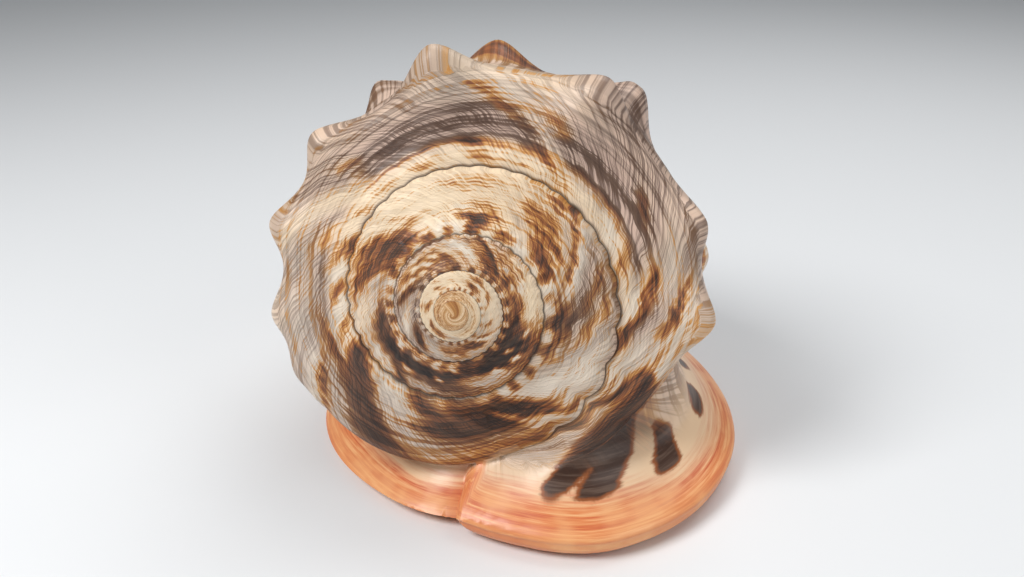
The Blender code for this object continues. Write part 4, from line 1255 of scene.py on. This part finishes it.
def pigment_group():
    """Colour from the three amounts and the line masks, with painted shade along the suture."""
    labels = ("Pigment", "Mauve", "Grey", "Edge Lines", "Edge Bands", "Spiral Threads", "Blotches",
              "Across", "Turns")
    g, given, result = new_group("shell_pigment", dict.fromkeys(labels, 0.0), {"Color": COLOR})
    mauve, lines, bands = given["Mauve"], given["Edge Lines"], given["Edge Bands"]
    stir = [g.about(given[label], middle, gain) for label, middle, gain in PIGMENT_STIR]
    amount = g.plus(given["Pigment"], *stir)
    ground = g.mix(mauve, CREAM, MAUVE)
    ground = g.mix(g.times(given["Grey"], 0.8), ground, g.mix(mauve, WHITE, GREY))
    ground = g.mix(g.times(bands, mauve, 0.45), ground, BAND)
    ground = g.mix(g.times(lines, g.plus(g.times(mauve, 0.74), 0.16)), ground, EDGE_LINE)
    ground = g.mix(g.times(given["Spiral Threads"], mauve, 0.75), ground, THREAD)
    paint = g.ramp(amount, [(0.24, GOLD), (0.46, RUST), (0.70, UMBER), (0.98, BLACK)])
    dusky = g.ramp(amount, [(0.20, DUSK), (0.70, UMBER), (0.98, BLACK)])
    cover = g.smooth(amount, 0.12, 0.30)
    color = g.mix(cover, ground, g.mix(g.smooth(mauve, 0.35, 0.85), paint, dusky))
    color = g.mix(g.times(cover, bands, 0.09), color, BAND_ON_PAINT)
    # painted shade: a dark line along each suture groove, on all but the first whorls
    suture_shade = g.times(g.smooth(given["Across"], 0.045, 0.0), g.smooth(given["Turns"], 4.58, 4.5), 0.85)
    g.wire((g.mix(suture_shade, color, SUTURE_SHADE),), result)
    return g.tree


# %% [markdown]
# ## Colour of the glaze
#
# The glaze is orange at the rim and cream further in, in streaks that run along the rim. The same
# streaks make the edges of the dark bars ragged. Near the slot the teeth are nearly white, and the
# gaps between them are stained.

# %% Glaze of the mouth
ORANGE = (0.74, 0.235, 0.078, 1.0)
RED_ORANGE = (0.60, 0.12, 0.042, 1.0)
PALE_ORANGE = (0.88, 0.45, 0.20, 1.0)
MOUTH_CREAM = (0.82, 0.58, 0.37, 1.0)
BAR_STREAK = (0.12, 0.072, 0.05, 1.0)
TOOTH_GAP = (0.16, 0.055, 0.025, 1.0)
TOOTH_TOP = (0.86, 0.80, 0.70, 1.0)


def mouth_group():
    """Colour of the glaze from the mouth's layers."""
    labels = ("Inward", "Bearing", "Bar", "Tooth", "Slot")
    g, given, result = new_group("mouth_glaze", dict.fromkeys(labels, 0.0), {"Color": COLOR})
    inward, tooth, near = given["Inward"], given["Tooth"], given["Slot"]
    angle = g.times(given["Bearing"], 2.0 * math.pi)
    east, north = g.math('COSINE', angle), g.math('SINE', angle)
    streak = g.noise((inward, east, north), (34.0, 2.6, 2.6), 4.0, 0.65)
    patch = g.noise((inward, east, north), (3.0, 4.8, 4.8), 2.0)
    glaze = g.mix(g.smooth(streak, 0.36, 0.54), RED_ORANGE, ORANGE)
    glaze = g.mix(g.smooth(streak, 0.50, 0.68), glaze, PALE_ORANGE)
    glaze = g.mix(g.times(g.smooth(patch, 0.45, 0.7), 0.6), glaze, PALE_ORANGE)
    # the cream starts nearer the rim at the right, and on the shield
    edge = g.plus(inward, g.about(streak, 0.5, 0.30), g.times(g.smooth(east, 0.35, 0.85), 0.15),
                  g.times(g.smooth(east, -0.05, -0.35), 0.16))
    color = g.mix(g.smooth(edge, 0.20, 0.50), glaze, MOUTH_CREAM)
    color = g.mix(g.times(g.smooth(inward, 0.12, -0.03), 0.35), color, PALE_ORANGE)
    ragged = g.plus(given["Bar"], g.about(streak, 0.5, 0.7))
    color = g.mix(g.smooth(ragged, 0.14, 0.40), color, RUST)
    dark = g.mix(g.smooth(streak, 0.42, 0.62), UMBER, BAR_STREAK)
    color = g.mix(g.smooth(ragged, 0.36, 0.66), color, dark)
    between = g.times(g.smooth(near, 0.35, 0.8), g.smooth(tooth, 0.55, 0.15), 0.9)
    color = g.mix(between, color, TOOTH_GAP)
    top = g.times(g.smooth(near, 0.3, 0.7), g.smooth(tooth, 0.3, 0.8), 0.8)
    g.wire((g.mix(top, color, TOOTH_TOP),), result)
    return g.tree


# %% [markdown]
# ## The material
#
# Painted whorls and glazed mouth are two finishes of one surface: the mouth is a little smoother
# and has a thin clear coat. Each finish gets its own colour group, and the share of glaze, kept on
# the mesh, picks between them. The growth lines also stand up as a very low bump on the whorls.

# %% Shell material
INSIDE = (0.42, 0.19, 0.10, 1.0)
# on the whorls, on the glaze
ROUGHNESS = (0.44, 0.38)
COAT = (0.10, 0.18)
COAT_ROUGHNESS = 0.2
SPECULAR = 0.36
LINE_HEIGHT = 0.2           # of the bump, in millimetres
LINE_STRENGTH = 0.5


def shell_material():
    """Painted whorls and glazed mouth, with the fine relief as a bump."""
    material = bpy.data.materials.new("shell_surface")
    material.use_nodes = True
    g = Nodes(material.node_tree)
    surface = g.tree.nodes["Principled BSDF"].inputs

    def layer(name):
        """The three numbers of a layer of the mesh."""
        split = g.node('ShaderNodeSeparateXYZ')
        g.wire((g.node('ShaderNodeAttribute', attribute_name=name).outputs["Vector"],), split.inputs)
        return split.outputs

    def place(made, links):
        """A group in the material, with its inputs given by name."""
        node = g.node('ShaderNodeGroup', node_tree=made)
        g.wire(links.values(), [node.inputs[label] for label in links])
        return node.outputs

    turns, across, inner = layer("growth")
    pigment, mauve, grey = layer("paint")
    glazed, inward, bearing = layer("glaze")
    bar, tooth, slot = layer("tooth")
    lines = place(lines_group(), {"Turns": turns, "Across": across})
    masks = {socket.name: socket for socket in lines}
    whorl = place(pigment_group(), {"Pigment": pigment, "Mauve": mauve, "Grey": grey, "Across": across,
                                    "Turns": turns, **masks})["Color"]
    mouth = place(mouth_group(), {"Inward": inward, "Bearing": bearing, "Bar": bar, "Tooth": tooth,
                                  "Slot": slot})["Color"]
    bumps = g.node('ShaderNodeBump')
    height = g.mix(glazed, g.plus(masks["Edge Lines"], masks["Spiral Threads"]), 0.0, 'FLOAT')
    g.wire((LINE_STRENGTH, LINE_HEIGHT * MM, height),
           [bumps.inputs[label] for label in ("Strength", "Distance", "Height")])
    values = {"Base Color": g.mix(inner, g.mix(glazed, whorl, mouth), INSIDE),
              "Roughness": g.mix(glazed, *ROUGHNESS, 'FLOAT'),
              "Coat Weight": g.mix(glazed, *COAT, 'FLOAT'), "Coat Roughness": COAT_ROUGHNESS,
              "Specular IOR Level": SPECULAR, "Normal": bumps.outputs["Normal"]}
    g.wire(values.values(), [surface[label] for label in values])
    return material


shell.data.materials.clear()
shell.data.materials.append(shell_material())
print("shell material made")

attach(shell, "root")
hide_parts("helmet_shell")

# %% [markdown]
# ## Floor and light
#
# A plain pale floor and large soft lamps show the relief without drawing attention: one big lamp
# above and a little behind, one in front at the left for the main light, and a weak one at the
# right to open the shadows.

# %% Floor
FLOOR_SIZE = 6.0
FLOOR_COLOR = (0.8, 0.81, 0.82, 1.0)
FLOOR_ROUGHNESS = 0.9

floor_mesh = bpy.data.meshes.new("floor")
half = FLOOR_SIZE / 2.0
floor_mesh.from_pydata([(-half, -half, 0), (half, -half, 0), (half, half, 0), (-half, half, 0)],
                       [], [(0, 1, 2, 3)])
floor = bpy.data.objects.new("floor", floor_mesh)
bpy.context.collection.objects.link(floor)
floor_paint = bpy.data.materials.new("floor_paint")
floor_paint.use_nodes = True
floor_surface = floor_paint.node_tree.nodes["Principled BSDF"].inputs
floor_surface["Base Color"].default_value = FLOOR_COLOR
floor_surface["Roughness"].default_value = FLOOR_ROUGHNESS
floor_mesh.materials.append(floor_paint)

# %% Lights
MIDDLE = (0.0, 0.0, 0.06)
# (name, place in metres, size in metres, power in watts)
LAMPS = [("key_lamp", (-0.42, -0.38, 0.62), 0.32, 5.0), ("top_lamp", (0.25, 0.25, 0.75), 0.60, 3.0),
         ("side_lamp", (0.55, -0.35, 0.40), 0.50, 1.3)]
SKY_COLOR = (0.9, 0.95, 1.0, 1.0)
SKY_STRENGTH = 0.17

for name, place, size, power in LAMPS:
    light = bpy.data.lights.new(name, 'AREA')
    light.size = size
    light.energy = power
    obj = bpy.data.objects.new(name, light)
    bpy.context.collection.objects.link(obj)
    obj.location = place
    away = np.array(place) - np.array(MIDDLE)
    down = math.atan2(math.hypot(away[0], away[1]), away[2])
    obj.rotation_euler = (down, 0.0, math.atan2(away[0], -away[1]))
world = bpy.data.worlds.new("studio")
bpy.context.scene.world = world
world.use_nodes = True
world.node_tree.nodes["Background"].inputs["Color"].default_value = SKY_COLOR
world.node_tree.nodes["Background"].inputs["Strength"].default_value = SKY_STRENGTH
bpy.context.scene.view_settings.view_transform = 'Standard'
